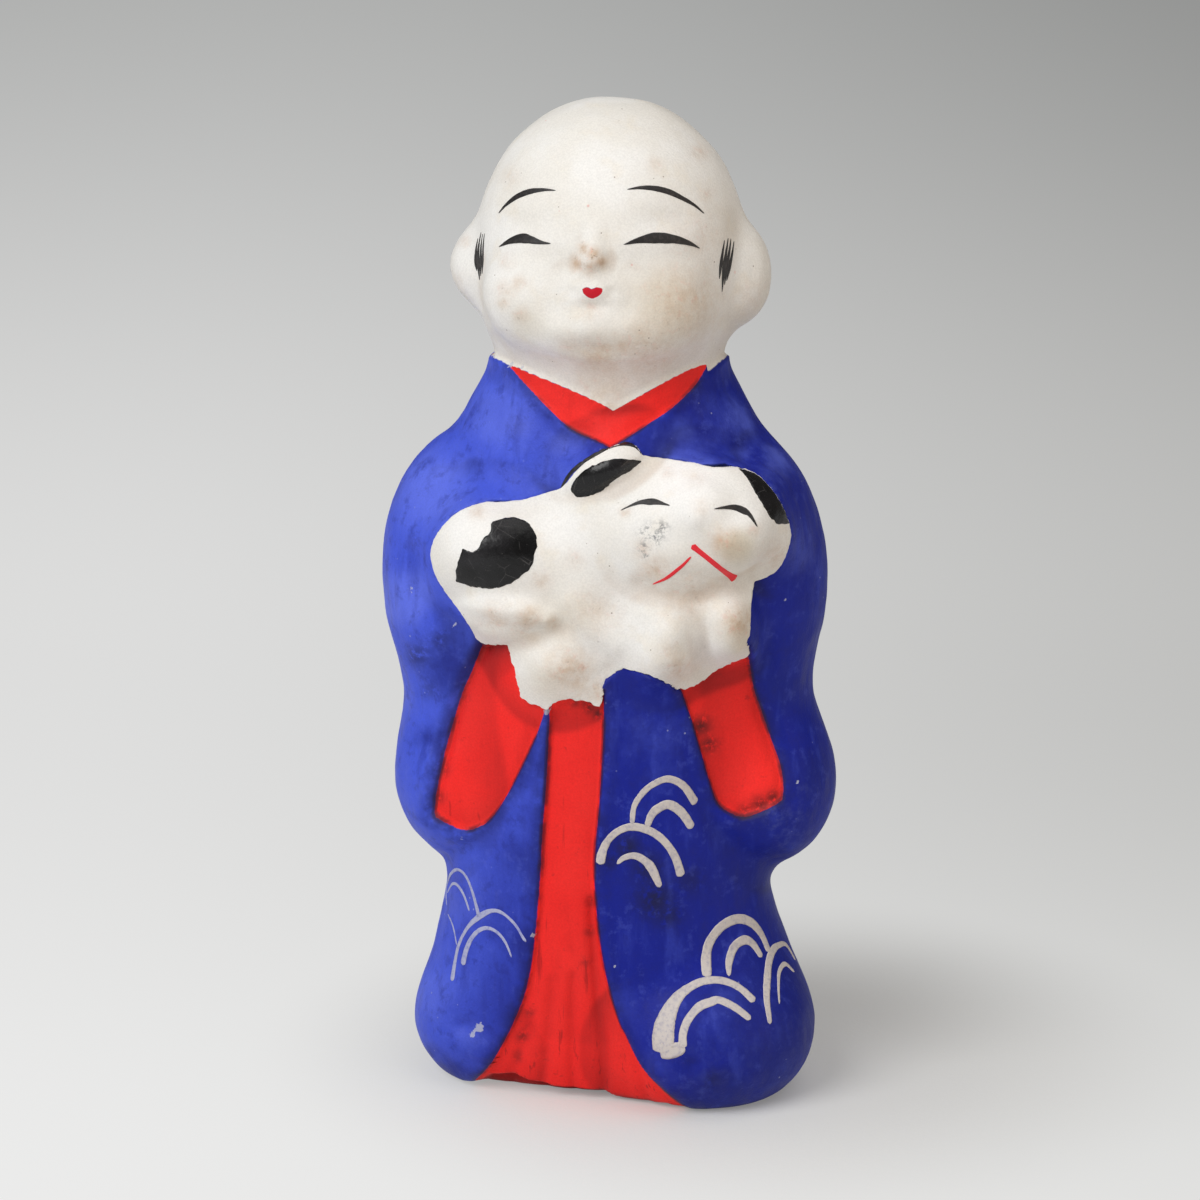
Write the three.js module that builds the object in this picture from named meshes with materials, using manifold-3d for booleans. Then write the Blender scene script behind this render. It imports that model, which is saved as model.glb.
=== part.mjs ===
// A hollow press-moulded clay doll: a child in a long coat who carries a puppy.
// Head and coat are each pressed in a front and a back half. The halves, the head, the coat and the slab
// under the foot are luted together with slip, and the puppy is a solid pressing luted to the chest.
// Millimetres, +Z up. The face looks along -Y, the doll's left hand is at +X, and the origin is on the floor.

import * as THREE from 'three';
import { mergeVertices } from 'three/addons/utils/BufferGeometryUtils.js';
import Module from 'manifold-3d';

// Clay walls and joints
const WALL = 4.5;
const SLIP = 1;
const SLAB = 5;
const PUPPY_BED = 0.3;
const VENT_RADIUS = 4.5;
const VENT_BEHIND = 9;

// Coat: heights of its main sections, with their half widths and their depths in front and behind
const FOOT_HALF_WIDTH = 25.6;
const FOOT_FRONT = 14.2;
const FOOT_BACK = 16;
const HEM_HEIGHT = 9.2;
const HEM_HALF_WIDTH = 28.9;
const HEM_FRONT = 16.6;
const HEM_BACK = 18;
const HEM_SHIFT = 0.9;
const WAIST_HEIGHT = 32;
const WAIST_HALF_WIDTH = 24.3;
const WAIST_FRONT = 18;
const WAIST_BACK = 15.5;
const CHEST_HEIGHT = 80;
const CHEST_HALF_WIDTH = 26.8;
const CHEST_FRONT = 17.5;
const CHEST_BACK = 16.5;
const SHOULDER_HEIGHT = 98;
const SHOULDER_HALF_WIDTH = 23.6;
const SHOULDER_FRONT = 16;
const SHOULDER_BACK = 15.5;
const NECK_HEIGHT = 110;
const NECK_HALF_WIDTH = 17.7;
const NECK_FRONT = 14.5;
const NECK_BACK = 14;
const THROAT_RISE = 8;
const THROAT_HALF_WIDTH = 14.2;
const THROAT_DEPTH = 11.5;
const NECK_RISE = 6;

// The coat's two front corners, which swell over the feet: place across, forward and up, then half sizes
const RIGHT_TOE = { at: [-16.7, 3.1, 8.9], size: [12.3, 10.3, 10.4] };
const LEFT_TOE = { at: [14.7, 5.8, 9.7], size: [16.9, 15.8, 13.4] };
const TOE_FILLET = 4;

// Sleeves: the upper arm and the bag of cloth that hangs below it
const ARM_SPREAD = 22.8;
const ARM_SHIFT = -0.7;
const ARM_HEIGHT = 78;
const ARM_SIZE = [10.4, 14, 20];
const BAG_SPREAD = 23.1;
const BAG_SHIFT = 0.9;
const BAG_HEIGHT = 47;
const BAG_SIZE = [10.2, 13, 12.5];
const ELBOW_FILLET = 12;
const SLEEVE_FILLET = 5;

// Red lining that shows in each sleeve: a sunk patch between a round top and a round bottom
const LINING_DEPTH = 0.9;
const RIGHT_LINING = { top: [-13.5, 65], topRadius: 5, bottom: [-19.6, 47.5], bottomRadius: 5.3 };
const LEFT_LINING = { top: [17.5, 66], topRadius: 5.5, bottom: [22.6, 50.5], bottomRadius: 5.1 };

// Under robe that shows, a little sunk, between the coat's two front edges
const STRIP_DEPTH = 1.1;
const STRIP_CENTRE = -4.2;
const STRIP_HALF_WIDTH = 4;
const STRIP_FLARE = 12.5;
const STRIP_TOP = 64;

// Head, as half sizes across, front to back and upright, with heights above the neck joint
const HEAD_RISE = 17.7;
const HEAD_SHIFT = 0.2;
const HEAD_SIZE = [19.8, 19.5, 21.4];
const CHEEK_RISE = 8.6;
const CHEEK_FORWARD = 2.5;
const CHEEK_SIZE = [18, 16.5, 9.2];
const HEAD_FILLET = 5;

// Ears and features of the face: place across, forward of the axis and above the neck joint, then half sizes
const FACE = {
  rightEar: { at: [-19.1, -0.5, 14.3], size: [4.3, 6, 4.9], fillet: 5 },
  leftEar: { at: [20, -0.5, 13], size: [3.7, 6, 6.2], fillet: 5 },
  nose: { at: [0, 18.6, 19.2], size: [2.3, 3, 2.8], fillet: 3.2 },
  noseBridge: { at: [0, 17.2, 20.8], size: [2, 2.4, 3.4], fillet: 3 },
  mouth: { at: [0.2, 17.4, 13.8], size: [4.8, 2.9, 3.6], fillet: 3 },
  chin: { at: [0.5, 16.4, 7.6], size: [7.5, 3.4, 3.8], fillet: 4 },
  rightCheek: { at: [-9.5, 13.2, 12], size: [7, 5.2, 6.5], fillet: 4 },
  leftCheek: { at: [9.5, 13.2, 11.5], size: [7, 5.2, 6.5], fillet: 4 },
};

// Puppy: its outline seen from the front, across and up, and how far its trimmed edge stands off the chest
const PUPPY_OUTLINE = [
  [-25.2, 83.5], [-21.5, 90], [-14, 92.3], [-6, 94.6], [-2.6, 98.3], [3, 101.8], [6.8, 100], [17, 98.8],
  [23.8, 95.6], [27.6, 88.8], [26.8, 83.2], [23, 80], [22.8, 70], [15.5, 65.4], [11, 65.6], [4, 68.2],
  [0.8, 62.4], [-6, 62], [-11.6, 63], [-13.6, 70.3], [-17.6, 71.2], [-23.4, 78.8],
];
const PUPPY_EDGE = 1.4;

// The puppy's lumps of clay. Each has its place across and up, its half sizes across and up, how far forward
// its foot lies and how far it rises from there, the fillet round it, and a slanting one its tilt in degrees.
const PUPPY = {
  back: { at: [-4, 82.5], half: [12.5, 9.5], foot: 14, rise: 6.8, fillet: 4 },
  belly: { at: [2, 75], half: [9.5, 7], foot: 14, rise: 6.2, fillet: 4 },
  neck: { at: [3, 89], half: [8, 7.5], foot: 14, rise: 7, fillet: 4 },
  rump: { at: [-15.6, 84.6], half: [9, 8.6], foot: 13, rise: 8.4, fillet: 4 },
  thigh: { at: [-11.8, 75.8], half: [8, 4.6], foot: 15, rise: 6.8, fillet: 3 },
  hindPaw: { at: [-6, 68.4], half: [6.4, 6.4], foot: 15.5, rise: 6, fillet: 3 },
  chest: { at: [12, 78.5], half: [10.5, 8], foot: 14, rise: 7, fillet: 4 },
  rightForePaw: { at: [9.3, 72.6], half: [4.8, 6.6], foot: 16, rise: 6.8, fillet: 3 },
  leftForePaw: { at: [18.8, 75], half: [4.2, 5.6], foot: 14.5, rise: 6.8, fillet: 3 },
  head: { at: [15.5, 90.3], half: [11.5, 8.8], foot: 14.5, rise: 9, fillet: 4 },
  rightMuzzle: { at: [8.8, 88.8], half: [4.8, 4], foot: 21, rise: 3.2, fillet: 2.5 },
  leftMuzzle: { at: [18.8, 89], half: [4, 3.7], foot: 20.6, rise: 3.4, fillet: 2.5 },
  snout: { at: [15, 93.4], half: [3.2, 3.4], foot: 22, rise: 3, fillet: 2.5 },
  rightEar: { at: [1.2, 97.6], half: [6, 3.4], foot: 14.5, rise: 5.5, fillet: 2, tilt: 26 },
  leftEar: { at: [24, 93.2], half: [4.8, 2.8], foot: 10, rise: 6.2, fillet: 2, tilt: -58 },
  jowl: { at: [24.4, 87], half: [3.6, 4.6], foot: 10, rise: 6.5, fillet: 3 },
};
const PUPPY_DRAFT_SHARE = 0.86;

// Facets: rays round the doll in front and behind, and the steps between them
const FRONT_COLUMNS = 36;
const FRONT_CROWDING = 0.3;
const BACK_COLUMNS = 14;
const COAT_STEP = 3.4;
const FACE_STEP = 1.6;
const CROWN_STEPS = 9;
const CROWN_RISE = 22;
const HOLLOW_COLUMNS = 10;
const HOLLOW_STEP = 7;
const HOLLOW_CROWN_STEPS = 5;
const PUPPY_STEP = 2.05;
const PUPPY_OUTLINE_STEPS = 60;
const STRIP_STEPS = 12;
const VENT_SIDES = 24;
const FAR = 200;

const BARE_CLAY = { color: 0xb9764e, roughness: 0.95, metalness: 0 };
const CHALK_WHITE = { color: 0xeae2d8, roughness: 0.8, metalness: 0 };
const COAT_BLUE = { color: 0x2a35b4, roughness: 0.65, metalness: 0 };

const wasm = await Module();
wasm.setup();

// Distance from a point to the skin of an ellipsoid, negative inside, true close to the skin.
function lump(x, y, z, [cx, cy, cz], [rx, ry, rz]) {
  const u = (x - cx) / rx;
  const v = (y - cy) / ry;
  const w = (z - cz) / rz;
  const share = Math.sqrt(u * u + v * v + w * w);
  const slope = Math.sqrt((u / rx) ** 2 + (v / ry) ** 2 + (w / rz) ** 2);
  return slope > 0 ? (share * (share - 1)) / slope : -Math.min(rx, ry, rz);
}

// Two forms pressed into one, with the crease between them filled over a width.
function weld(a, b, fillet) {
  const near = Math.max(fillet - Math.abs(a - b), 0) / fillet;
  return Math.min(a, b) - (near * near * fillet) / 4;
}

const THROAT_HEIGHT = NECK_HEIGHT + THROAT_RISE;
const coatHeights = [
  0, HEM_HEIGHT, WAIST_HEIGHT, CHEST_HEIGHT, SHOULDER_HEIGHT, NECK_HEIGHT, THROAT_HEIGHT];
const coatSections = [
  [FOOT_HALF_WIDTH, FOOT_FRONT, FOOT_BACK, HEM_SHIFT],
  [HEM_HALF_WIDTH, HEM_FRONT, HEM_BACK, HEM_SHIFT],
  [WAIST_HALF_WIDTH, WAIST_FRONT, WAIST_BACK, 0],
  [CHEST_HALF_WIDTH, CHEST_FRONT, CHEST_BACK, 0],
  [SHOULDER_HALF_WIDTH, SHOULDER_FRONT, SHOULDER_BACK, 0],
  [NECK_HALF_WIDTH, NECK_FRONT, NECK_BACK, 0],
  [THROAT_HALF_WIDTH, THROAT_DEPTH, THROAT_DEPTH, 0],
];
const coatLoft = new THREE.CubicInterpolant(coatHeights, coatSections.flat(), 4, new Float64Array(4));

// The coat's body: an oval section that changes with height.
function coatBody(x, y, z) {
  const [halfWidth, front, back, shift] = coatLoft.evaluate(THREE.MathUtils.clamp(z, 0, THROAT_HEIGHT));
  const depth = y < 0 ? front : back;
  const u = (x - shift) / halfWidth;
  const v = y / depth;
  const share = Math.sqrt(u * u + v * v);
  const slope = Math.sqrt((u / halfWidth) ** 2 + (v / depth) ** 2);
  const side = slope > 0 ? (share * (share - 1)) / slope : -Math.min(halfWidth, depth);
  return Math.max(side, z - NECK_HEIGHT - NECK_RISE);
}

function sleeve(x, y, z, hand) {
  const arm = lump(x, y, z, [hand * ARM_SPREAD + ARM_SHIFT, 0, ARM_HEIGHT], ARM_SIZE);
  const bag = lump(x, y, z, [hand * BAG_SPREAD + BAG_SHIFT, 0, BAG_HEIGHT], BAG_SIZE);
  return weld(arm, bag, ELBOW_FILLET);
}

function coat(x, y, z) {
  let form = coatBody(x, y, z);
  for (const { at, size } of [RIGHT_TOE, LEFT_TOE]) {
    form = weld(form, lump(x, y, z, [at[0], -at[1], at[2]], size), TOE_FILLET);
  }
  for (const hand of [-1, 1]) form = weld(form, sleeve(x, y, z, hand), SLEEVE_FILLET);
  return form;
}

function head(x, y, z) {
  const skull = lump(x, y, z, [HEAD_SHIFT, 0, NECK_HEIGHT + HEAD_RISE], HEAD_SIZE);
  const cheeks = lump(x, y, z, [HEAD_SHIFT, -CHEEK_FORWARD, NECK_HEIGHT + CHEEK_RISE], CHEEK_SIZE);
  let form = weld(skull, cheeks, HEAD_FILLET);
  for (const { at, size, fillet } of Object.values(FACE)) {
    form = weld(form, lump(x, y, z, [at[0], -at[1], NECK_HEIGHT + at[2]], size), fillet);
  }
  return form;
}

function figure(x, y, z) {
  return weld(coat(x, y, z), head(x, y, z), HEAD_FILLET);
}

// The height of a lump at a share of its outline: a dome that turns into a drafted side, with no undercut.
function dome(share) {
  const rim = Math.sqrt(1 - PUPPY_DRAFT_SHARE ** 2);
  const side = rim - ((share - PUPPY_DRAFT_SHARE) * PUPPY_DRAFT_SHARE) / rim;
  return share < PUPPY_DRAFT_SHARE ? Math.sqrt(1 - share ** 2) : side;
}

// How far forward of the axis the puppy's surface lies at a place on the front.
function puppyFront(x, z) {
  let front = 0;
  for (const { at, half, foot, rise, fillet, tilt = 0 } of Object.values(PUPPY)) {
    const place = new THREE.Vector2(x - at[0], z - at[1]);
    place.rotateAround(new THREE.Vector2(), -tilt * THREE.MathUtils.DEG2RAD);
    const height = foot + rise * dome(Math.hypot(place.x / half[0], place.y / half[1]));
    front = -weld(-front, -height, fillet);
  }
  return front;
}

// The outermost point of a form along a ray: strides in from outside, then halves the last stride.
function castRay(form, level, origin, direction, reach) {
  const at = (r) =>
    form(origin.x + direction.x * r, origin.y + direction.y * r, origin.z + direction.z * r) - level;
  let outer = reach;
  let inner = reach;
  for (let gap = at(outer); gap > 0 && inner > 0; gap = at(inner)) {
    outer = inner;
    inner -= Math.max(0.5 * gap, 0.4);
  }
  for (let i = 0; i < 20; i += 1) {
    const middle = (inner + outer) / 2;
    if (at(middle) > 0) outer = middle;
    else inner = middle;
  }
  return origin.clone().addScaledVector(direction, (inner + outer) / 2);
}

// A closed surface from rings of points, all of one length, and a pole at each end.
function closedRings(rings, firstPole, lastPole) {
  const columns = rings[0].length;
  const points = [...rings.flat(), firstPole, lastPole];
  const triangles = [];
  for (let i = 0; i < columns; i += 1) {
    const next = (i + 1) % columns;
    for (let k = 0; k + 1 < rings.length; k += 1) {
      const [a, b] = [k * columns + i, k * columns + next];
      triangles.push(a, b, b + columns, a, b + columns, a + columns);
    }
    const top = (rings.length - 1) * columns;
    triangles.push(points.length - 2, next, i, points.length - 1, top + i, top + next);
  }
  return new THREE.BufferGeometry().setFromPoints(points).setIndex(triangles);
}

// Directions round the doll, from the seam at +X past the back, the seam at -X and the front, where they
// crowd together towards the middle of the face.
function bearings(backColumns, frontColumns) {
  const back = Array.from({ length: backColumns }, (_, i) => (Math.PI * i) / backColumns);
  const front = Array.from({ length: frontColumns }, (_, i) => {
    const turn = (2 * Math.PI * i) / frontColumns;
    return Math.PI + (turn + FRONT_CROWDING * Math.sin(turn)) / 2;
  });
  return [...back, ...front];
}

// Heights from one to another in equal steps, without the last.
function heights(from, to, step) {
  const count = Math.ceil((to - from) / step);
  return Array.from({ length: count }, (_, k) => from + ((to - from) * k) / count);
}

// The doll's skin at a level above (+) or below (-) its surface, as a stack of sections under a crown.
function figureSkin(level, angles, coatStep, faceStep, crownSteps, lowest) {
  const crownFoot = NECK_HEIGHT + CROWN_RISE;
  const levels = [...heights(lowest, NECK_HEIGHT, coatStep), ...heights(NECK_HEIGHT, crownFoot, faceStep)];
  const rises = Array.from({ length: crownSteps }, (_, k) => (Math.PI / 2) * (k / crownSteps));
  const rays = [...levels.map((height) => [height, 0]), ...rises.map((rise) => [crownFoot, rise])];
  const reach = 60;
  const rings = rays.map(([height, rise]) =>
    angles.map((turn) => {
      const direction = new THREE.Vector3(
        Math.cos(rise) * Math.cos(turn), Math.cos(rise) * Math.sin(turn), Math.sin(rise));
      return castRay(figure, level, new THREE.Vector3(0, 0, height), direction, reach);
    }));
  const crown = castRay(figure, level, new THREE.Vector3(0, 0, crownFoot), new THREE.Vector3(0, 0, 1), reach);
  return closedRings(rings, new THREE.Vector3(0, 0, lowest), crown);
}

// The skin of the outside, or a like one a little under or over it.
function outerSkin(level, lowest = 0) {
  const angles = bearings(BACK_COLUMNS, FRONT_COLUMNS);
  return solid(figureSkin(level, angles, COAT_STEP, FACE_STEP, CROWN_STEPS, lowest));
}

// The puppy as it leaves its press mould: a block with its front pressed into lumps, trimmed to its outline.
function puppyPressing() {
  const corners = PUPPY_OUTLINE.map(([across, up]) => new THREE.Vector2(across, up));
  const outline = new THREE.SplineCurve([...corners, corners[0]]).getPoints(PUPPY_OUTLINE_STEPS);
  const trimmed = frontPrism(new THREE.Shape(outline));
  const { min, max } = trimmed.boundingBox();
  const [width, height] = [max[0] - min[0], max[2] - min[2]];
  const [columns, rows] = [Math.round(width / PUPPY_STEP), Math.round(height / PUPPY_STEP)];
  const block = new THREE.BoxGeometry(width, 1, height, columns, 1, rows);
  block.translate((min[0] + max[0]) / 2, 0.5, (min[2] + max[2]) / 2);
  const points = block.attributes.position;
  const forward = new THREE.Vector3(0, -1, 0);
  for (let i = 0; i < points.count; i += 1) {
    const foot = new THREE.Vector3(points.getX(i), 0, points.getZ(i));
    const chest = castRay(figure, PUPPY_EDGE, foot, forward, FAR / 4);
    if (points.getY(i) <= 0) points.setY(i, Math.min(chest.y, -puppyFront(foot.x, foot.z)));
  }
  return solid(block).intersect(trimmed);
}

// three.js geometry as a solid that can be cut, and back again
function solid(geometry) {
  const bare = geometry.clone();
  bare.deleteAttribute('normal');
  bare.deleteAttribute('uv');
  const merged = mergeVertices(bare);
  return new wasm.Manifold(new wasm.Mesh({
    numProp: 3,
    vertProperties: new Float32Array(merged.attributes.position.array),
    triVerts: new Uint32Array(merged.index.array),
  }));
}

function piece(name, cut, look) {
  const { vertProperties, triVerts } = cut.getMesh();
  const geometry = new THREE.BufferGeometry();
  geometry.setAttribute('position', new THREE.BufferAttribute(vertProperties, 3));
  geometry.setIndex(new THREE.BufferAttribute(triVerts, 1));
  geometry.computeVertexNormals();
  const mesh = new THREE.Mesh(geometry, new THREE.MeshStandardMaterial(look));
  mesh.name = name;
  return mesh;
}

// The space between two heights, and between two depths measured back from the seam.
function slice(bottom, top, front = -FAR, back = FAR) {
  const box = new THREE.BoxGeometry(FAR, back - front, top - bottom);
  return solid(box.translate(0, (front + back) / 2, (bottom + top) / 2));
}

// The space on the doll's right (-1) or left (+1).
function side(hand) {
  return solid(new THREE.BoxGeometry(FAR, FAR, FAR).translate((hand * FAR) / 2, 0, FAR / 2));
}

// The outline of a sleeve's lining: a round top and a round bottom with straight sides between them.
function liningShape({ top, topRadius, bottom, bottomRadius }) {
  const [dx, dz] = [bottom[0] - top[0], bottom[1] - top[1]];
  const lean = Math.acos((topRadius - bottomRadius) / Math.hypot(dx, dz));
  const down = Math.atan2(dz, dx);
  const shape = new THREE.Shape();
  shape.absarc(top[0], top[1], topRadius, down + lean, down - lean + 2 * Math.PI, false);
  shape.absarc(bottom[0], bottom[1], bottomRadius, down - lean, down + lean, false);
  return shape;
}

// The outline of the under robe: straight at the chest, and flaring out towards the hem.
function stripShape() {
  const rows = Array.from({ length: STRIP_STEPS + 1 }, (_, i) => {
    const height = (STRIP_TOP * i) / STRIP_STEPS;
    return [height, STRIP_HALF_WIDTH + STRIP_FLARE * (1 - height / STRIP_TOP) ** 4];
  });
  rows[0][0] = -SLIP;
  const right = rows.map(([height, half]) => new THREE.Vector2(STRIP_CENTRE - half, height));
  const left = rows.map(([height, half]) => new THREE.Vector2(STRIP_CENTRE + half, height));
  return new THREE.Shape([...left, ...right.reverse()]);
}

// The space in front of the seam behind an outline seen from the front.
function frontPrism(shape) {
  const prism = new THREE.ExtrudeGeometry(shape, { depth: FAR, bevelEnabled: false, curveSegments: 7 });
  return solid(prism.rotateX(Math.PI / 2));
}

// The clay in front of a sunk patch of the coat, with an outline seen from the front.
function sunkPatch(shape, floor) {
  return frontPrism(shape).subtract(floor);
}

// The joint planes: the slip lies half on each side of the seam and of the neck joint, and on the slab.
const SEAM_FRONT = -SLIP / 2;
const SEAM_BACK = SLIP / 2;
const COAT_BOTTOM = SLAB + SLIP;
const COAT_TOP = NECK_HEIGHT - SLIP / 2;
const HEAD_BOTTOM = NECK_HEIGHT + SLIP / 2;

const liningFloor = outerSkin(-LINING_DEPTH, -SLIP);
const stripFloor = outerSkin(-STRIP_DEPTH, -SLIP);
const outside = outerSkin(0)
  .subtract(sunkPatch(liningShape(RIGHT_LINING), liningFloor))
  .subtract(sunkPatch(liningShape(LEFT_LINING), liningFloor))
  .subtract(sunkPatch(stripShape(), stripFloor));
const hollowAngles = bearings(HOLLOW_COLUMNS, HOLLOW_COLUMNS);
const hollow = solid(
  figureSkin(-WALL, hollowAngles, HOLLOW_STEP, HOLLOW_STEP, HOLLOW_CROWN_STEPS, -SLIP));
const walls = outside.subtract(hollow);

function headPieces() {
  const group = new THREE.Group();
  group.add(
    piece('face_shell', walls.intersect(slice(HEAD_BOTTOM, FAR, -FAR, SEAM_FRONT)), CHALK_WHITE),
    piece('head_back_shell', walls.intersect(slice(HEAD_BOTTOM, FAR, SEAM_BACK, FAR)), CHALK_WHITE),
    piece('head_seam_slip', walls.intersect(slice(HEAD_BOTTOM, FAR, SEAM_FRONT, SEAM_BACK)), BARE_CLAY),
  );
  return group;
}

function coatPieces() {
  const group = new THREE.Group();
  const seam = walls.intersect(slice(COAT_BOTTOM, COAT_TOP, SEAM_FRONT, SEAM_BACK));
  group.add(
    piece('coat_front_shell', walls.intersect(slice(COAT_BOTTOM, COAT_TOP, -FAR, SEAM_FRONT)), COAT_BLUE),
    piece('coat_back_shell', walls.intersect(slice(COAT_BOTTOM, COAT_TOP, SEAM_BACK, FAR)), COAT_BLUE),
    piece('coat_right_seam_slip', seam.intersect(side(-1)), BARE_CLAY),
    piece('coat_left_seam_slip', seam.intersect(side(1)), BARE_CLAY),
  );
  return group;
}

// The slab under the foot with its air hole, and the rings of slip at the foot and at the neck.
function ringsAndSlab() {
  const group = new THREE.Group();
  const hole = new THREE.CylinderGeometry(VENT_RADIUS, VENT_RADIUS, 2 * SLAB + SLIP, VENT_SIDES);
  hole.rotateX(Math.PI / 2).translate(0, VENT_BEHIND, SLAB / 2);
  group.add(
    piece('base_slab', outside.intersect(slice(-SLIP, SLAB)).subtract(solid(hole)), BARE_CLAY),
    piece('foot_slip', walls.intersect(slice(SLAB, COAT_BOTTOM)), BARE_CLAY),
    piece('neck_slip', walls.intersect(slice(COAT_TOP, HEAD_BOTTOM)), BARE_CLAY),
  );
  return group;
}

const doll = new THREE.Group();
doll.add(headPieces(), coatPieces(), ringsAndSlab());
doll.add(piece('puppy', puppyPressing().subtract(outerSkin(PUPPY_BED, -SLIP)), CHALK_WHITE));

export default doll;
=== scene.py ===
"""A press-moulded clay doll, a child who carries a puppy, with its painted skin."""
import math

import bmesh
import bpy
import numpy as np
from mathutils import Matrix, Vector


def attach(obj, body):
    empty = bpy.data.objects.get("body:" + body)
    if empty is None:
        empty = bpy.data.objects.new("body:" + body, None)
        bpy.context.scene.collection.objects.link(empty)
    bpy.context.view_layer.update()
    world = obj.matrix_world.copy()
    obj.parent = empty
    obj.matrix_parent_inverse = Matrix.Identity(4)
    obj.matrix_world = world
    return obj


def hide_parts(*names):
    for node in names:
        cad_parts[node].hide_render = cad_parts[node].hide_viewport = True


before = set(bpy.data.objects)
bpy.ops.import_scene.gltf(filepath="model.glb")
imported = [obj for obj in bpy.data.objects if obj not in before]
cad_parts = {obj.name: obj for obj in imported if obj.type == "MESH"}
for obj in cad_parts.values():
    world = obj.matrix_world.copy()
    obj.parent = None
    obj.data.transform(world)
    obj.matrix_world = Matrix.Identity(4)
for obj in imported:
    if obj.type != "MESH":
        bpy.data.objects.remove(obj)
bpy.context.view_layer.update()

# Clay sizes in millimetres, the same as in the solids. Scene units are metres.
MM = 0.001
WALL = 4.5
HALF_SLIP = 0.5
SLAB_TOP = 5.0
COAT_FOOT = 6.0
COAT_TOP = 109.5
NECK = 110.0
HEAD_FOOT = 110.5
CROWN_FOOT = 132.0
NECK_RISE = 6.0
PUPPY_BED = 0.3
VENT_RADIUS = 4.5
VENT_BEHIND = 9.0

# Sizes of the painted skin alone: rounding of the foot's edge, height of the white paint at the back,
# and least thickness of the puppy's edge
FOOT_ROUNDING = 1.6
BACK_NECKLINE = 111.2
PUPPY_RIM = 0.3

# Heights of the coat's sections, with half width, depth in front, depth behind and shift to the left hand
COAT_HEIGHTS = np.array([0.0, 9.2, 32.0, 80.0, 98.0, NECK, NECK + 8])
COAT_SECTIONS = np.array([
    [25.6, 14.2, 16.0, 0.9],
    [28.9, 16.6, 18.0, 0.9],
    [24.3, 18.0, 15.5, 0.0],
    [26.8, 17.5, 16.5, 0.0],
    [23.6, 16.0, 15.5, 0.0],
    [17.7, 14.5, 14.0, 0.0],
    [14.2, 11.5, 11.5, 0.0],
])

# The coat's two front corners, which swell over the feet: centre and half sizes
RIGHT_TOE = ((-16.7, -3.1, 8.9), (12.3, 10.3, 10.4))
LEFT_TOE = ((14.7, -5.8, 9.7), (16.9, 15.8, 13.4))
TOE_FILLET = 4.0

# Sleeves: upper arm and hanging bag, each with its spread, shift, height and half sizes
ARM = (22.8, -0.7, 78.0, (10.4, 14.0, 20.0))
BAG = (23.1, 0.9, 47.0, (10.2, 13.0, 12.5))
ELBOW_FILLET = 12.0
SLEEVE_FILLET = 5.0

# Head: lumps of clay with their centre, half sizes and fillet
HEAD_FILLET = 5.0
SKULL = ((0.2, 0, NECK + 17.7), (19.8, 19.5, 21.4))
HEAD_LUMPS = [
    ((0.2, -2.5, NECK + 8.6), (18.0, 16.5, 9.2), HEAD_FILLET),
    ((-19.1, 0.5, NECK + 14.3), (4.3, 6.0, 4.9), 5.0),
    ((20.0, 0.5, NECK + 13.0), (3.7, 6.0, 6.2), 5.0),
    ((-0.4, -18.6, NECK + 18.8), (1.7, 2.8, 2.1), 1.7),
    ((-0.3, -17.5, NECK + 20.7), (1.2, 1.9, 2.7), 1.8),
    ((0.2, -17.4, NECK + 13.8), (4.8, 2.9, 3.6), 3.0),
    ((0.5, -16.4, NECK + 7.6), (7.5, 3.4, 3.8), 4.0),
    ((-9.5, -13.2, NECK + 12.0), (7.0, 5.2, 6.5), 4.0),
    ((8.4, -13.2, NECK + 11.5), (6.2, 5.2, 6.5), 4.0),
]

# Puppy: lumps with place across and up, half sizes, foot, rise, fillet and tilt in degrees
PUPPY_LUMPS = [
    ((-4.0, 82.5), (12.5, 9.5), 14.0, 6.8, 4.0, 0),
    ((2.0, 75.0), (9.5, 7.0), 14.0, 6.2, 4.0, 0),
    ((3.0, 89.0), (8.0, 7.5), 14.0, 7.0, 4.0, 0),
    ((-15.6, 84.6), (9.0, 8.6), 13.0, 8.4, 4.0, 0),
    ((-11.8, 75.8), (8.0, 4.6), 15.0, 6.8, 3.0, 0),
    ((-6.0, 68.8), (6.4, 6.4), 14.5, 5.8, 3.0, 0),
    ((12.0, 78.5), (10.5, 8.0), 14.0, 7.0, 4.0, 0),
    ((9.3, 72.6), (4.8, 6.6), 16.0, 6.8, 3.0, 0),
    ((18.8, 75.0), (4.2, 5.6), 14.5, 6.8, 3.0, 0),
    ((15.5, 90.3), (11.5, 8.8), 14.5, 9.0, 4.0, 0),
    ((10.7, 87.4), (6.2, 5.0), 20.2, 2.6, 4.6, 0),
    ((20.2, 89.2), (4.2, 4.0), 20.2, 3.2, 3.2, 0),
    ((15.6, 92.8), (3.2, 3.4), 21.4, 3.0, 2.6, 0),
    ((1.2, 97.6), (6.0, 3.4), 14.5, 5.5, 2.0, 26),
    ((24.0, 93.2), (4.8, 2.8), 10.0, 6.2, 2.0, -58),
    ((24.4, 87.0), (3.6, 4.6), 10.0, 6.5, 3.0, 0),
]
PUPPY_FILLET = 5.0
# Only here does the puppy touch the child: half width, rear, foot and top
PUPPY_NEAR = (40.0, 5.0, 52.0, 112.0)
# Only here may it cover the coat: rear, foot and top
PUPPY_COVER = (-6.0, 56.0, 108.0)
# Span of the grid that its front is trimmed from, across and above
PUPPY_ACROSS = (-28.0, 32.0)
PUPPY_ABOVE = (57.0, 106.0)

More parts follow.
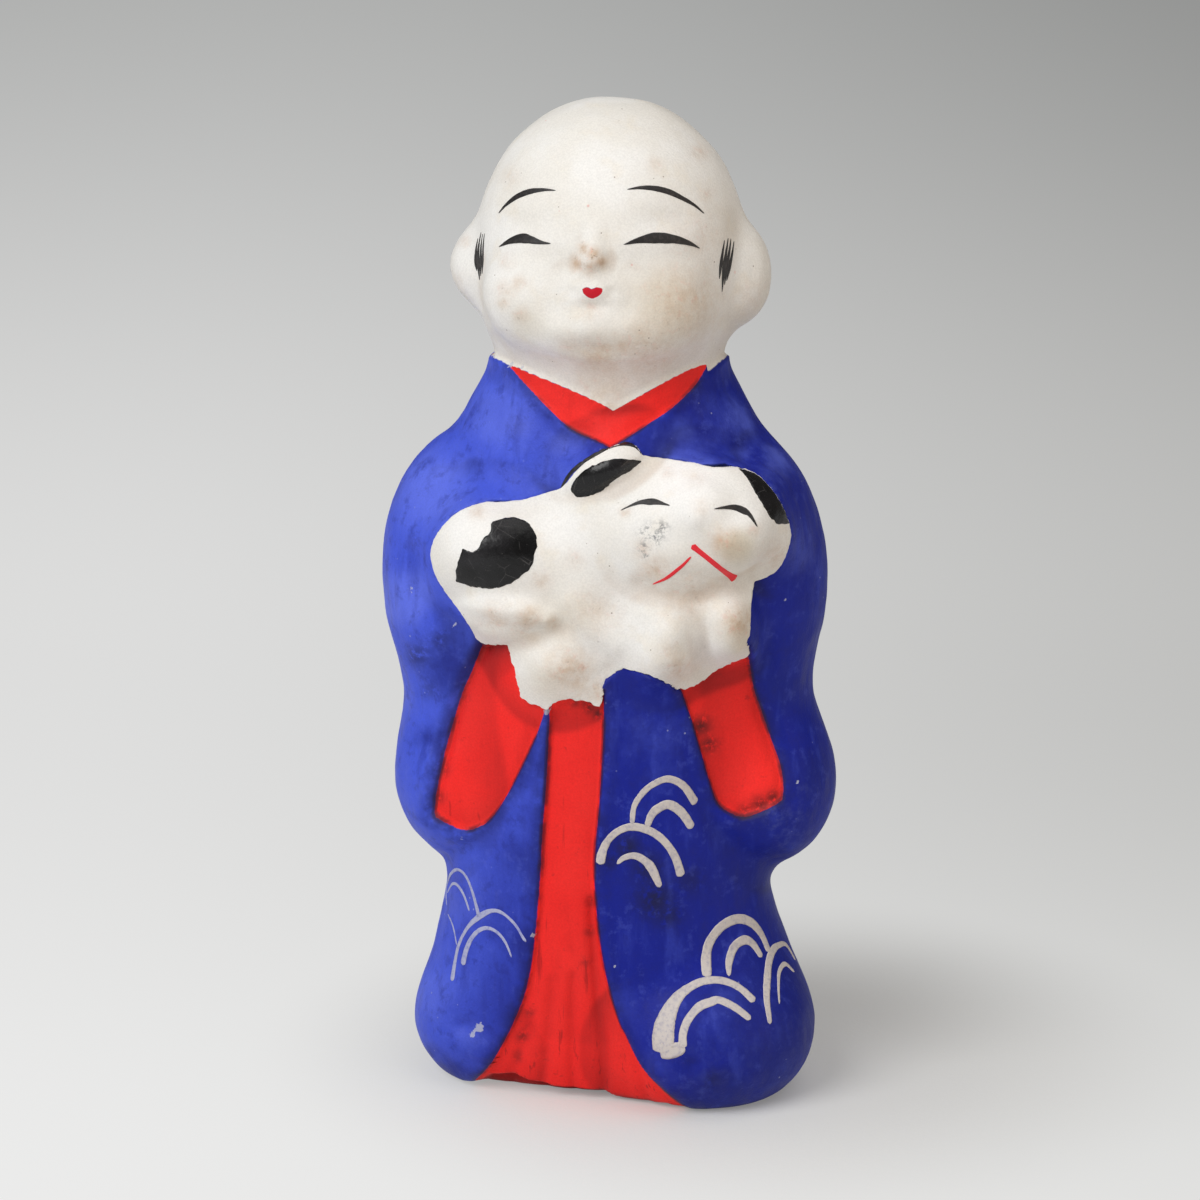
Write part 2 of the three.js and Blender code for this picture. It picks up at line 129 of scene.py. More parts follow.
# Rays that find the clay's skin: where they start, the share of the gap that they stride, the shortest stride,
# how often the last stride is halved, and how near to the skin a point has to be to lie on it
REACH = 60.0
PUPPY_REACH = 45.0
SIGHT_REACH = 80.0
STRIDE = 0.6
SHORTEST_STRIDE = 0.25
HALVINGS = 16
ON_SKIN = 0.05
# Stands for a place far outside every paint edge
FAR_OUTSIDE = -20.0

# The picture: a square of 1200 points, seen from a little to the left hand and from above
PICTURE = 1200
CAMERA_TURN = math.radians(6)
CAMERA_RISE = math.radians(14)
CAMERA_AWAY = 650.0
PICTURE_WIDTH = 179.0
POINTS_PER_MM = PICTURE / PICTURE_WIDTH
RIGHT = np.array([math.cos(CAMERA_TURN), math.sin(CAMERA_TURN), 0])
BACK = np.array([math.sin(CAMERA_TURN) * math.cos(CAMERA_RISE),
                 -math.cos(CAMERA_TURN) * math.cos(CAMERA_RISE), math.sin(CAMERA_RISE)])
UP = np.cross(BACK, RIGHT)
TARGET = -1.34 * RIGHT + np.array([0, 0, 74.0])
EYE = TARGET + CAMERA_AWAY * BACK

# Paint outlines, as points of the picture. Each outline is a list of smooth strokes that meet in corners.
SKIN_EDGE = [
    [(250, 350), (470, 354), (490, 357)],
    [(490, 357), (498, 361), (506, 366)],
    [(506, 366), (516, 369), (530, 375), (550, 383), (570, 391), (600, 404), (613, 411)],
    [(613, 411), (640, 397), (670, 381), (690, 371), (708, 365)],
    [(708, 365), (711, 371), (728, 357)],
    [(728, 357), (750, 353), (950, 350)],
    [(950, 350), (950, -300), (250, -300), (250, 350)],
]
COLLAR = [
    [(505, 364), (516, 369), (530, 375), (550, 383), (570, 391), (600, 404), (613, 411)],
    [(613, 411), (640, 397), (670, 381), (690, 371), (709, 363)],
    [(709, 363), (700, 380), (690, 392), (670, 410), (650, 423), (630, 435), (609, 446)],
    [(609, 446), (592, 438), (570, 429), (550, 411), (530, 390), (520, 380), (505, 364)],
]
RIGHT_LINING = [
    [(481, 640), (510, 640), (520, 690), (546, 706)],
    [(546, 706), (538, 729), (529, 749), (516, 775), (503, 799), (492, 816), (483, 826)],
    [(483, 826), (466, 832), (449, 826), (431, 816)],
    [(431, 816), (434, 790), (440, 761), (449, 726), (460, 693), (470, 671), (481, 640)],
]
LEFT_LINING = [
    [(678, 680), (710, 655), (748, 650)],
    [(748, 650), (755, 688), (764, 712), (773, 738), (781, 760), (786, 782), (785, 801)],
    [(785, 801), (768, 810), (745, 818), (729, 813), (718, 803), (711, 783), (704, 758), (693, 721), (678, 680)],
]
UNDER_ROBE = [
    [(549, 690), (604, 690)],
    [(604, 690), (603, 740), (599, 804), (594, 871), (600, 946), (616, 1016), (636, 1062), (664, 1092), (700, 1118)],
    [(700, 1118), (720, 1150), (420, 1150), (455, 1100)],
    [(455, 1100), (474, 1081), (492, 1062), (512, 1025), (528, 979), (537, 910), (542, 830), (547, 760), (549, 690)],
]
LIPS = [
    [(583, 288.5), (588, 287), (592.5, 289), (597, 287), (603, 288.5)],
    [(603, 288.5), (601.5, 293.5), (592.5, 298.5), (584.5, 293.5), (583, 288.5)],
]
PUPPY_EDGE = [
    [(504, 502), (526, 499), (561, 488)],
    [(561, 488), (566, 483), (581, 466), (602, 453), (619, 445), (634, 446), (643, 456)],
    [(643, 456), (680, 461), (712, 467), (738, 468)],
    [(738, 468), (757, 475), (772, 490), (782, 506), (789, 523)],
    [(789, 523), (791, 536), (787, 553), (779, 568), (769, 576), (754, 582)],
    [(754, 582), (751, 605), (750, 630), (748, 657)],
    [(748, 657), (722, 667), (697, 685), (680, 690), (672, 687), (652, 676), (624, 668)],
    [(624, 668), (614, 675), (605, 686), (602, 702), (599, 708)],
    [(599, 708), (588, 702), (576, 700), (556, 701), (546, 709), (521, 698)],
    [(521, 698), (514, 670), (508, 645)],
    [(508, 645), (481, 643), (469, 625), (455, 605), (441, 586), (432, 566), (431, 548), (441, 528),
     (460, 511), (482, 503), (504, 502)],
]
HAUNCH_SPOT = [
    [(491, 523), (510, 517), (526, 522), (535, 533), (537, 547), (534, 556)],
    [(534, 556), (532, 566), (519, 578), (506, 585), (492, 589), (470, 586), (456, 581)],
    [(456, 581), (457, 566), (463, 549)],
    [(463, 549), (472, 552), (479, 548), (484, 537), (489, 534), (491, 523)],
]
RIGHT_EAR_SPOT = [
    [(570, 490), (577, 477), (589, 468), (605, 461), (625, 459), (641, 461)],
    [(641, 461), (631, 470), (617, 478), (604, 489), (590, 496), (577, 497), (570, 490)],
]
LEFT_EAR_SPOT = [
    [(738, 467), (757, 474), (773, 489), (783, 505), (790, 523)],
    [(790, 523), (779, 524), (769, 515), (762, 503), (756, 494), (750, 483), (744, 474), (738, 467)],
]

# Creases and rolls pressed into the clay: points of the picture, depth (a roll is negative) and half width
CREASES = [
    ([(410, 556), (416, 588), (431, 611), (455, 628), (479, 641)], 1.0, 1.9),
    ([(487, 637), (470, 667), (457, 697), (446, 735), (437, 772), (429, 814)], 0.9, 0.9),
    ([(446, 857), (466, 848), (485, 838), (502, 815), (517, 789), (532, 759), (547, 722)], 0.7, 1.5),
    ([(759, 588), (770, 620), (769, 655), (761, 690), (772, 726), (785, 767), (790, 800)], 0.9, 1.5),
    ([(772, 863), (750, 857), (728, 843), (711, 820), (701, 790), (692, 755), (682, 712)], 0.6, 1.6),
    ([(590, 905), (594, 970), (598, 1030), (602, 1095)], 0.55, 0.9),
    ([(571, 980), (570, 1035), (571, 1095)], 0.4, 0.8),
    ([(549, 985), (546, 1035), (539, 1090)], 0.45, 0.9),
    ([(624, 1035), (634, 1070), (645, 1105)], 0.35, 0.8),
    ([(525, 1030), (515, 1062), (505, 1085)], 0.4, 0.9),
    ([(495, 378), (515, 405), (545, 426), (582, 443)], 0.4, 2.2),
    ([(622, 448), (662, 438), (702, 420), (727, 393)], 0.4, 2.2),
    ([(614, 266), (627, 284), (631, 306)], 0.25, 1.6),
    ([(569, 266), (557, 284), (553, 306)], 0.2, 1.6),
    ([(739, 222), (743, 250), (740, 290), (731, 322)], 0.45, 1.6),
    ([(473, 232), (469, 258), (473, 290), (483, 318)], 0.25, 1.4),
]

# Soft thumb marks and swellings: place and half sizes in the picture, height in millimetres
DABS = [
    (525, 222, 34, 12, -0.35), (662, 220, 38, 12, -0.35), (526, 244, 28, 9, 0.3), (662, 244, 32, 9, 0.3),
    (581, 262, 5, 4, 0.25), (599, 262, 5, 4, 0.25), (592, 291, 15, 9, 0.45), (573, 292, 6, 6, -0.3),
    (612, 293, 6, 6, -0.3), (592, 307, 18, 6, -0.45), (588, 328, 22, 12, 0.6), (628, 327, 17, 11, 0.35),
    (558, 330, 16, 11, 0.25), (600, 352, 36, 12, -0.5), (519, 300, 26, 22, 0.35), (755, 270, 7, 20, -0.3),
    (463, 1027, 9, 8, -0.9), (478, 1052, 20, 12, 0.5), (692, 1066, 9, 7, -0.7), (720, 1066, 16, 14, 0.5),
]

# The lower edge of the under robe and of the coat's corners beside it, and how far the clay steps back below it
HEM_LINE = [(452, 1078), (462, 1082), (475, 1083), (487, 1077), (512, 1077), (525, 1083), (550, 1089), (575, 1092),
            (600, 1094), (615, 1101), (640, 1107), (660, 1106), (672, 1104)]
HEM_STEP = 2.2

# How deep the sleeves' linings and the under robe are sunk, the rolls of clay beside them, and the collar's steps
LINING_DEPTH, LINING_ROLL = 0.9, 0.35
ROBE_DEPTH, ROBE_ROLL = 1.1, 0.3
COLLAR_STEP, SKIN_STEP, STEP_RUN = 0.5, 0.35, 4.0

# Thickness of the puppy's coat of paint and half that of its black spots, and the puppy's finer modelling
PUPPY_PAINT = 0.1
SPOT_BODY = 0.05
PUPPY_CREASES = [
    ([(474, 605), (500, 609), (525, 612), (546, 619)], -0.8, 1.3),
    ([(482, 626), (512, 631), (538, 634), (560, 632)], 0.6, 1.6),
    ([(470, 594), (505, 597), (540, 598)], 0.2, 1.8),
    ([(571, 497), (596, 494), (619, 480), (643, 462)], 0.35, 0.8),
    ([(699, 603), (706, 625), (714, 648), (720, 668)], 0.45, 1.6),
    ([(640, 588), (690, 597), (742, 588)], 0.5, 1.9),
    ([(572, 602), (592, 628), (614, 646)], -0.5, 1.7),
    ([(548, 612), (566, 632), (590, 655)], 0.35, 1.5),
]
PUPPY_DABS = [
    (648, 506, 20, 8, -0.3), (737, 513, 17, 9, -0.3), (695, 518, 10, 10, 0.5), (728, 541, 13, 12, 0.5),
    (672, 553, 18, 12, 0.3), (690, 577, 16, 8, -0.3), (512, 552, 26, 24, 0.3), (612, 606, 18, 20, -0.55),
    (673, 632, 16, 18, 0.6), (678, 662, 15, 9, 0.4), (733, 615, 14, 18, 0.6), (706, 642, 8, 22, -0.5),
    (557, 668, 21, 14, 0.65), (600, 674, 14, 14, -0.4), (536, 646, 16, 9, -0.4), (644, 636, 9, 20, -0.4),
    (573, 548, 14, 30, -0.35),
]


def lump(p, centre, half):
    """Distance from points to the skin of an oval lump of clay, less than nothing inside it."""
    scaled = (p - np.asarray(centre, float)) / np.asarray(half, float)
    share = np.sqrt((scaled ** 2).sum(1))
    slope = np.sqrt(((scaled / np.asarray(half, float)) ** 2).sum(1))
    return share * (share - 1) / np.maximum(slope, 1e-9)


def weld(a, b, fillet):
    """Two forms pressed into one, with the crease between them filled over a width."""
    near = np.maximum(fillet - np.abs(a - b), 0) / fillet
    return np.minimum(a, b) - near * near * fillet / 4


def coat_section(z):
    """Half width, front, back and shift of the coat at heights, on a smooth curve through its sections."""
    last = len(COAT_HEIGHTS) - 1
    z = np.clip(z, 0, COAT_HEIGHTS[last])
    i = np.clip(np.searchsorted(COAT_HEIGHTS, z, side="right"), 1, last)
    before = np.where(i > 1, i - 2, i)
    after = np.where(i < last, i + 1, i - 1)
    start, end = COAT_HEIGHTS[i - 1], COAT_HEIGHTS[i]
    half = (end - start) / 2
    lead = half / (start - COAT_HEIGHTS[before])
    trail = half / (COAT_HEIGHTS[after] - end)
    t = (z - start) / (end - start)
    weights = [
        (before, -lead * t ** 3 + 2 * lead * t ** 2 - lead * t),
        (i - 1, (1 + lead) * t ** 3 + (-1.5 - 2 * lead) * t ** 2 + (-0.5 + lead) * t + 1),
        (i, (-1 - trail) * t ** 3 + (1.5 + trail) * t ** 2 + 0.5 * t),
        (after, trail * t ** 3 - trail * t ** 2),
    ]
    return sum(COAT_SECTIONS[k].T * w for k, w in weights)


def coat_body(p):
    """The coat's body: an oval section that changes with height."""
    half_width, front, back, shift = coat_section(p[:, 2])
    depth = np.where(p[:, 1] < 0, front, back)
    u, v = (p[:, 0] - shift) / half_width, p[:, 1] / depth
    share = np.hypot(u, v)
    slope = np.hypot(u / half_width, v / depth)
    return np.maximum(share * (share - 1) / np.maximum(slope, 1e-9), p[:, 2] - NECK - NECK_RISE)


def coat(p):
    form = coat_body(p)
    for toe in (RIGHT_TOE, LEFT_TOE):
        form = weld(form, lump(p, *toe), TOE_FILLET)
    for hand in (-1, 1):
        parts = [lump(p, (hand * spread + shift, 0, height), half) for spread, shift, height, half in (ARM, BAG)]
        form = weld(form, weld(parts[0], parts[1], ELBOW_FILLET), SLEEVE_FILLET)
    return form


def head(p):
    form = lump(p, *SKULL)
    for centre, half, fillet in HEAD_LUMPS:
        form = weld(form, lump(p, centre, half), fillet)
    return form


def child(p):
    """The child without the puppy."""
    return weld(coat(p), head(p), HEAD_FILLET)


def puppy(p):
    form = None
    for (x, z), half, foot, rise, fillet, tilt in PUPPY_LUMPS:
        turn = math.radians(tilt)
        across, above = p[:, 0] - x, p[:, 2] - z
        place = np.stack([across * math.cos(turn) + above * math.sin(turn), p[:, 1] + foot,
                          above * math.cos(turn) - across * math.sin(turn)], 1)
        part = lump(place, (0, 0, 0), (half[0], rise, half[1]))
        form = part if form is None else weld(form, part, fillet)
    return form


def doll(p):
    """Child and puppy pressed into one."""
    form = child(p)
    half_width, rear, foot, top = PUPPY_NEAR
    close = (np.abs(p[:, 0]) < half_width) & (p[:, 1] < rear) & (p[:, 2] > foot) & (p[:, 2] < top)
    if close.any():
        form[close] = weld(form[close], puppy(p[close]), PUPPY_FILLET)
    return form


def hollow(p):
    """The empty inside of the doll."""
    return child(p) + WALL


def cast(form, origin, heading, reach):
    """The outermost point of a form on each ray: strides in from outside, then halves the last stride."""
    outer = np.full(len(origin), float(reach))
    inner = outer.copy()
    going = np.arange(len(origin))
    while len(going):
        gap = form(origin[going] + heading[going] * inner[going, None])
        outside = (gap > 0) & (inner[going] > 0)
        going = going[outside]
        outer[going] = inner[going]
        inner[going] -= np.maximum(STRIDE * gap[outside], SHORTEST_STRIDE)
    for _ in range(HALVINGS):
        middle = (inner + outer) / 2
        outside = form(origin + heading * middle[:, None]) > 0
        outer = np.where(outside, middle, outer)
        inner = np.where(outside, inner, middle)
    return origin + heading * ((inner + outer) / 2)[:, None]


def slopes(form, p, step=0.05):
    """The outward direction of a form's skin at points on it."""
    rise = np.stack([form(p + step * axis) - form(p - step * axis) for axis in np.eye(3)], 1)
    return rise / np.linalg.norm(rise, axis=1)[:, None]


def bend(form, p, step=0.9):
    """How hollow the skin is at points on it: more than nothing in creases, less on ridges."""
    around = sum(form(p + step * axis) + form(p - step * axis) for axis in np.eye(3))
    return (6 * form(p) - around) / step ** 2


def picture(p):
    """Where points of the doll lie in the picture."""
    away = CAMERA_AWAY - (p - TARGET) @ BACK
    zoom = PICTURE * CAMERA_AWAY / PICTURE_WIDTH / away
    across, above = (p - TARGET) @ RIGHT, (p - TARGET) @ UP
    return np.stack([PICTURE / 2 + zoom * across, PICTURE / 2 - zoom * above], 1)


def on_doll(points):
    """The points of the doll's skin that lie at places in the picture, and whether each one meets it."""
    points = np.asarray(points, float)
    side = (points - PICTURE / 2) * PICTURE_WIDTH / PICTURE / CAMERA_AWAY
    heading = side[:, :1] * RIGHT - side[:, 1:] * UP - BACK
    heading /= np.linalg.norm(heading, axis=1)[:, None]
    hit = cast(doll, EYE + heading * (CAMERA_AWAY + SIGHT_REACH), -heading, 2 * SIGHT_REACH)
    return hit, np.abs(doll(hit)) < ON_SKIN


def smooth_line(points, steps=6):
    """A smooth line drawn through points."""
    points = np.asarray(points, float)
    if len(points) < 3:
        return points
    padded = np.vstack([2 * points[0] - points[1], points, 2 * points[-1] - points[-2]])
    line = []
    for a, b, c, d in zip(padded, padded[1:], padded[2:], padded[3:]):
        for t in np.arange(steps) / steps:
            line.append(b + (c - a) * t / 2 + (2 * a - 5 * b + 4 * c - d) * t * t / 2
                        + (3 * b - a - 3 * c + d) * t ** 3 / 2)
    return np.array(line + [points[-1]])


def line_distance(at, line):
    """Distance from places in the picture to a line, in millimetres."""
    nearest = np.full(len(at), 1e9)
    for a, b in zip(line, line[1:]):
        span = b - a
        share = np.clip((at - a) @ span / max(span @ span, 1e-9), 0, 1)
        nearest = np.minimum(nearest, ((at - a - share[:, None] * span) ** 2).sum(1))
    return np.sqrt(nearest) / POINTS_PER_MM


def inside_edge(at, outline):
    """How far places in the picture lie inside an outline, in millimetres, less than nothing outside."""
    line = np.vstack([smooth_line(stroke) for stroke in outline])
    odd = np.zeros(len(at), bool)
    for a, b in zip(line, np.roll(line, -1, axis=0)):
        if a[1] != b[1]:
            spans = (a[1] > at[:, 1]) != (b[1] > at[:, 1])
            odd ^= spans & (at[:, 0] < a[0] + (at[:, 1] - a[1]) * (b[0] - a[0]) / (b[1] - a[1]))
    return np.where(odd, 1, -1) * line_distance(at, line)


def ease(value, start, end):
    """From 0 to 1 between two values, with soft ends."""
    t = np.clip((value - start) / (end - start), 0, 1)
    return t * t * (3 - 2 * t)


def ripple(p, size, seed, waves=14):
    """A gentle random unevenness of about a size, between -1 and 1."""
    rng = np.random.default_rng(seed)
    heading = rng.normal(size=(waves, 3))
    heading /= np.linalg.norm(heading, axis=1)[:, None]
    pace = 2 * math.pi / (size * rng.uniform(0.7, 1.6, waves))
    phase = rng.uniform(0, 2 * math.pi, waves)
    return np.sin((p @ heading.T) * pace + phase).sum(1) / math.sqrt(2 * waves)


def puppy_inside(p):
    """How far points lie inside the puppy's painted edge, which is a little ragged."""
    at = picture(p)
    ragged = 0.05 + 0.1 * ease(at[:, 1], 630, 660)
    return inside_edge(at, PUPPY_EDGE) + ragged * (ripple(p, 1.3, 5) + 0.7 * ripple(p, 0.6, 6))


def paint_edges(p):
    """How far points of the front lie inside each colour of paint, in millimetres."""
    at = picture(p)
    skin = inside_edge(at, SKIN_EDGE)
    linings = np.maximum(inside_edge(at, RIGHT_LINING), inside_edge(at, LEFT_LINING))
    robe = inside_edge(at, UNDER_ROBE)
    collar = inside_edge(at, COLLAR)
    return skin, linings, robe, collar


def pressed_in(at, creases, dabs):
    """Height of creases, rolls and thumb marks at places in the picture."""
    height = np.zeros(len(at))
    for points, depth, half_width in creases:
        height -= depth * np.exp(-(line_distance(at, smooth_line(points)) / half_width) ** 2)
    for x, y, wide, tall, rise in dabs:
        height += rise * np.exp(-((at[:, 0] - x) / wide) ** 2 - ((at[:, 1] - y) / tall) ** 2)
    return height


def modelled(p, linings, robe):
    """Height of the finer modelling of the front: sunk cloth, creases and thumb marks."""
    at = picture(p)
    height = LINING_ROLL * np.exp(-((linings + 1.3) / 1.1) ** 2) - LINING_DEPTH * ease(linings, -0.3, 0.4)
    height += ROBE_ROLL * np.exp(-((robe + 1.2) / 1.0) ** 2) - ROBE_DEPTH * ease(robe, -0.35, 0.45)
    height += pressed_in(at, CREASES, DABS)
    line = np.array(HEM_LINE, float)
    below = (at[:, 1] - np.interp(at[:, 0], line[:, 0], line[:, 1])) / POINTS_PER_MM
    beside = ease(at[:, 0], line[0, 0], line[0, 0] + 14) * ease(at[:, 0], line[-1, 0], line[-1, 0] - 22)
    return height - HEM_STEP * ease(below, -0.25, 0.4) * beside


def puppy_modelled(p):
    """Height of the finer modelling of the puppy."""
    return pressed_in(picture(p), PUPPY_CREASES, PUPPY_DABS)


def uneven(p):
    """The slight unevenness of clay that was pressed by hand."""
    return 0.11 * ripple(p, 13, 1) + 0.045 * ripple(p, 4.5, 2) + 0.012 * ripple(p, 1.6, 3)


# The skin's fineness: columns and rows of its grid, with the foot, top and rows of each storey
FINE = 1
FRONT_COLUMNS = 200 // FINE
BACK_COLUMNS = 90 // FINE
SLIP_COLUMNS = 4
STOREYS = [(0, SLAB_TOP, 18), (SLAB_TOP, COAT_FOOT, 2), (COAT_FOOT, COAT_TOP, 206), (COAT_TOP, HEAD_FOOT, 2),
           (HEAD_FOOT, CROWN_FOOT, 72)]
CROWN_ROWS = 70 // FINE
PUPPY_CELL = 0.3 * FINE
# Rows of the walls' coarse inside
HEAD_ROWS = 14
HEAD_SEAM_ROWS = 12
COAT_ROWS = 18
RING_ROWS = 2

# Rows of the skin grid: heights of level rays, then the rise of the rays that fan out over the crown
heights, storey_rows = [], []
for low, high, count in STOREYS:
    storey_rows.append(len(heights))
    heights += [low + (high - low) * i / (count // FINE) for i in range(count // FINE)]
storey_rows.append(len(heights))
heights = np.array(heights + [CROWN_FOOT] * (CROWN_ROWS + 1))
floor_row, slab_row, foot_row, coat_row, head_row, crown_row = storey_rows
last_row = len(heights) - 1
rises = np.concatenate([np.zeros(crown_row), np.linspace(0, math.pi / 2, CROWN_ROWS + 1)])

# Columns of the skin grid, from the right seam round the front, over the left seam and round the back
seam_steps = np.linspace(-HALF_SLIP, HALF_SLIP, SLIP_COLUMNS + 1)[1:-1]
columns = np.array(
    [(-HALF_SLIP, math.pi * (1 + i / FRONT_COLUMNS)) for i in range(FRONT_COLUMNS + 1)]
    + [(depth, 0.0) for depth in seam_steps]
    + [(HALF_SLIP, math.pi * i / BACK_COLUMNS) for i in range(BACK_COLUMNS + 1)]
    + [(-depth, math.pi) for depth in seam_steps])
left_column = FRONT_COLUMNS
back_column = left_column + SLIP_COLUMNS
right_column = back_column + BACK_COLUMNS
FRONT = np.arange(0, left_column + 1)
LEFT_SEAM = np.arange(left_column, back_column + 1)
BEHIND = np.arange(back_column, right_column + 1)
RIGHT_SEAM = np.append(np.arange(right_column, len(columns)), 0)
ALL_ROUND = np.append(np.arange(len(columns)), 0)


def rays(rows):
    """Starting points and headings of the rays of some rows."""
    flat, lift = np.cos(rises[rows])[:, None], np.sin(rises[rows])[:, None]
    bearing = columns[:, 1]
    origin = np.zeros((len(rows), len(columns), 3))
    origin[..., 1] = columns[:, 0]
    origin[..., 2] = heights[rows][:, None]
    heading = np.stack([flat * np.cos(bearing), flat * np.sin(bearing), lift + 0 * bearing], -1)
    return origin.reshape(-1, 3), heading.reshape(-1, 3)


# Round marks on the paint: place in the picture, radius and strength. First come stains, partly painted shade under the
# nose, chin and jaw, on the right cheek and on the puppy's lower parts, and soot.
STAINS_AND_SHADE = [
    (592, 254, 6, 1.7), (584, 249, 6, 1.2), (578, 264, 7, 1.2), (600, 262, 7, 1.1), (589, 266, 10, 0.8),
    (506, 290, 9, 0.5), (518, 283, 8, 0.5), (521, 315, 7, 0.7), (504, 302, 7, 0.6), (507, 262, 9, 0.3),
    (682, 304, 36, 0.65), (648, 348, 30, 0.6), (650, 318, 12, 0.4), (624, 345, 15, 0.7), (600, 357, 20, 0.8),
    (570, 350, 16, 0.4), (592, 307, 14, 0.35), (640, 335, 10, 0.5), (600, 388, 34, 0.35), (700, 240, 34, 0.3),
    (755, 300, 22, 0.3), (510, 177, 10, 0.3), (655, 165, 8, 0.35), (700, 152, 9, 0.4), (706, 195, 9, 0.35),
    (462, 240, 7, 0.5), (455, 280, 7, 0.35), (770, 285, 7, 0.4), (608, 407, 9, 0.35), (495, 618, 15, 0.6),
    (528, 618, 12, 0.75), (552, 624, 8, 0.5), (541, 580, 10, 0.5), (576, 560, 10, 0.3), (477, 512, 8, 0.5),
    (570, 672, 24, 0.85), (598, 690, 14, 0.7), (592, 612, 24, 0.4), (520, 632, 20, 0.3), (724, 543, 14, 1.0),
    (655, 570, 14, 0.8), (642, 550, 10, 0.5), (640, 576, 9, 0.5), (690, 594, 26, 0.45), (671, 652, 12, 0.4),
    (678, 668, 14, 0.6), (738, 622, 16, 1.0), (776, 556, 16, 0.5), (755, 530, 7, 0.5), (700, 508, 9, 0.35),
    (625, 512, 6, 0.5), (697, 478, 9, 0.25), (668, 472, 7, 0.3),
]
SOOT = [(648, 533, 9, 1.0), (662, 528, 7, 1.0), (656, 537, 8, 1.0), (644, 548, 6, 1.0), (646, 556, 3, 1.0)]
COAT_SMUDGES = [
    (628, 848, 15, 1.0), (610, 862, 9, 0.8), (648, 868, 16, 0.9), (590, 709, 7, 1.0), (598, 716, 6, 1.0),
    (575, 706, 5, 0.7), (604, 726, 5, 0.6), (545, 720, 4, 0.5),
    (774, 800, 9, 1.0), (760, 807, 10, 1.0), (744, 813, 7, 0.8), (703, 728, 11, 1.0), (711, 746, 9, 0.9),
    (440, 770, 8, 0.6), (436, 800, 7, 0.6), (462, 700, 6, 0.4), (590, 905, 5, 0.6), (588, 935, 5, 0.6),
    (584, 965, 5, 0.5), (527, 1015, 5, 0.7), (520, 1040, 6, 0.7), (516, 1060, 5, 0.5), (655, 900, 20, 1.0),
    (690, 880, 16, 0.6), (668, 915, 14, 0.9), (712, 1078, 9, 0.6), (418, 655, 12, 0.8), (440, 640, 10, 0.7),
    (430, 690, 9, 0.5),
]
# Where the paint is paler, partly thin paint and partly painted light on the lit left of the coat and on the puppy's
# lit bumps, and where it is darker, partly thick paint and partly painted shade low down, on the right and near the
# floor
PALE_WASHES_AND_PAINTED_LIGHT = [
    (430, 490, 44, 1.0), (402, 600, 30, 1.1), (394, 700, 24, 0.7), (430, 985, 40, 0.6), (470, 1040, 24, 0.5),
    (500, 415, 40, 0.8), (560, 480, 30, 0.5), (455, 900, 40, 0.4),
    (745, 415, 34, 0.55), (800, 555, 30, 0.35), (640, 735, 40, 0.25), (470, 535, 34, 0.9), (560, 530, 34, 0.8),
    (690, 487, 44, 0.9), (585, 265, 12, 0.3), (690, 515, 14, 0.6), (665, 625, 14, 0.6), (562, 442, 24, 0.55),
    (780, 456, 22, 0.7), (680, 430, 18, 0.5), (742, 455, 16, 0.45),
]
DEEP_WASHES_AND_PAINTED_SHADE = [
    (510, 765, 40, 0.6), (524, 860, 30, 0.6), (452, 668, 34, 0.9), (428, 735, 20, 0.6), (522, 945, 22, 0.7),
    (508, 1015, 18, 0.7), (780, 1015, 70, 1.2), (790, 870, 50, 0.6), (775, 690, 24, 0.6),
    (655, 880, 40, 0.6), (815, 770, 30, 0.7), (700, 1050, 50, 0.5), (420, 1060, 24, 0.7), (448, 1078, 24, 1.0),
    (492, 1080, 20, 0.9), (720, 1100, 44, 1.0), (785, 1085, 36, 1.0),
]
# Where the white is darker and warmer, mostly painted shade on the cheeks, under the chin and on the puppy's lower
# parts with some yellowing, and creases whose painted shade is weakened
SHADED_AND_YELLOWED_WHITES = [
    (664, 300, 50, 0.62), (525, 328, 26, 0.5), (742, 322, 20, 0.5), (600, 366, 44, 0.4), (736, 546, 22, 1.0),
    (570, 612, 40, 0.4), (545, 682, 30, 0.5), (742, 640, 30, 0.5),
]
LESS_CREASE_SHADE = [(572, 244, 15, 0.75), (606, 244, 15, 0.75)]
CHIPS = [
    (479, 1028, 5, 1.0), (472, 1034, 4, 0.8), (437, 552, 2, 0.5), (452, 629, 2.5, 0.8), (449, 650, 2, 0.6),
    (463, 596, 2, 0.5), (408, 592, 4, 0.55), (395, 560, 2, 0.6), (462, 838, 2, 0.9), (533, 935, 2.5, 0.8),
    (615, 965, 2, 0.8), (797, 783, 2, 0.7), (745, 722, 1.5, 0.7), (775, 806, 2, 0.5), (786, 600, 1.5, 0.6),
    (508, 366, 3, 0.8), (519, 368, 2, 0.8), (546, 712, 3.5, 1.0), (396, 760, 3, 0.4), (815, 700, 2, 0.4),
]


def dabbed(at, dabs):
    """How strongly places in the picture are touched by a set of round marks."""
    touch = np.zeros(len(at))
    for x, y, radius, strength in dabs:
        touch = np.maximum(touch, strength * np.exp(-((at - (x, y)) ** 2).sum(1) / radius ** 2))
    return touch


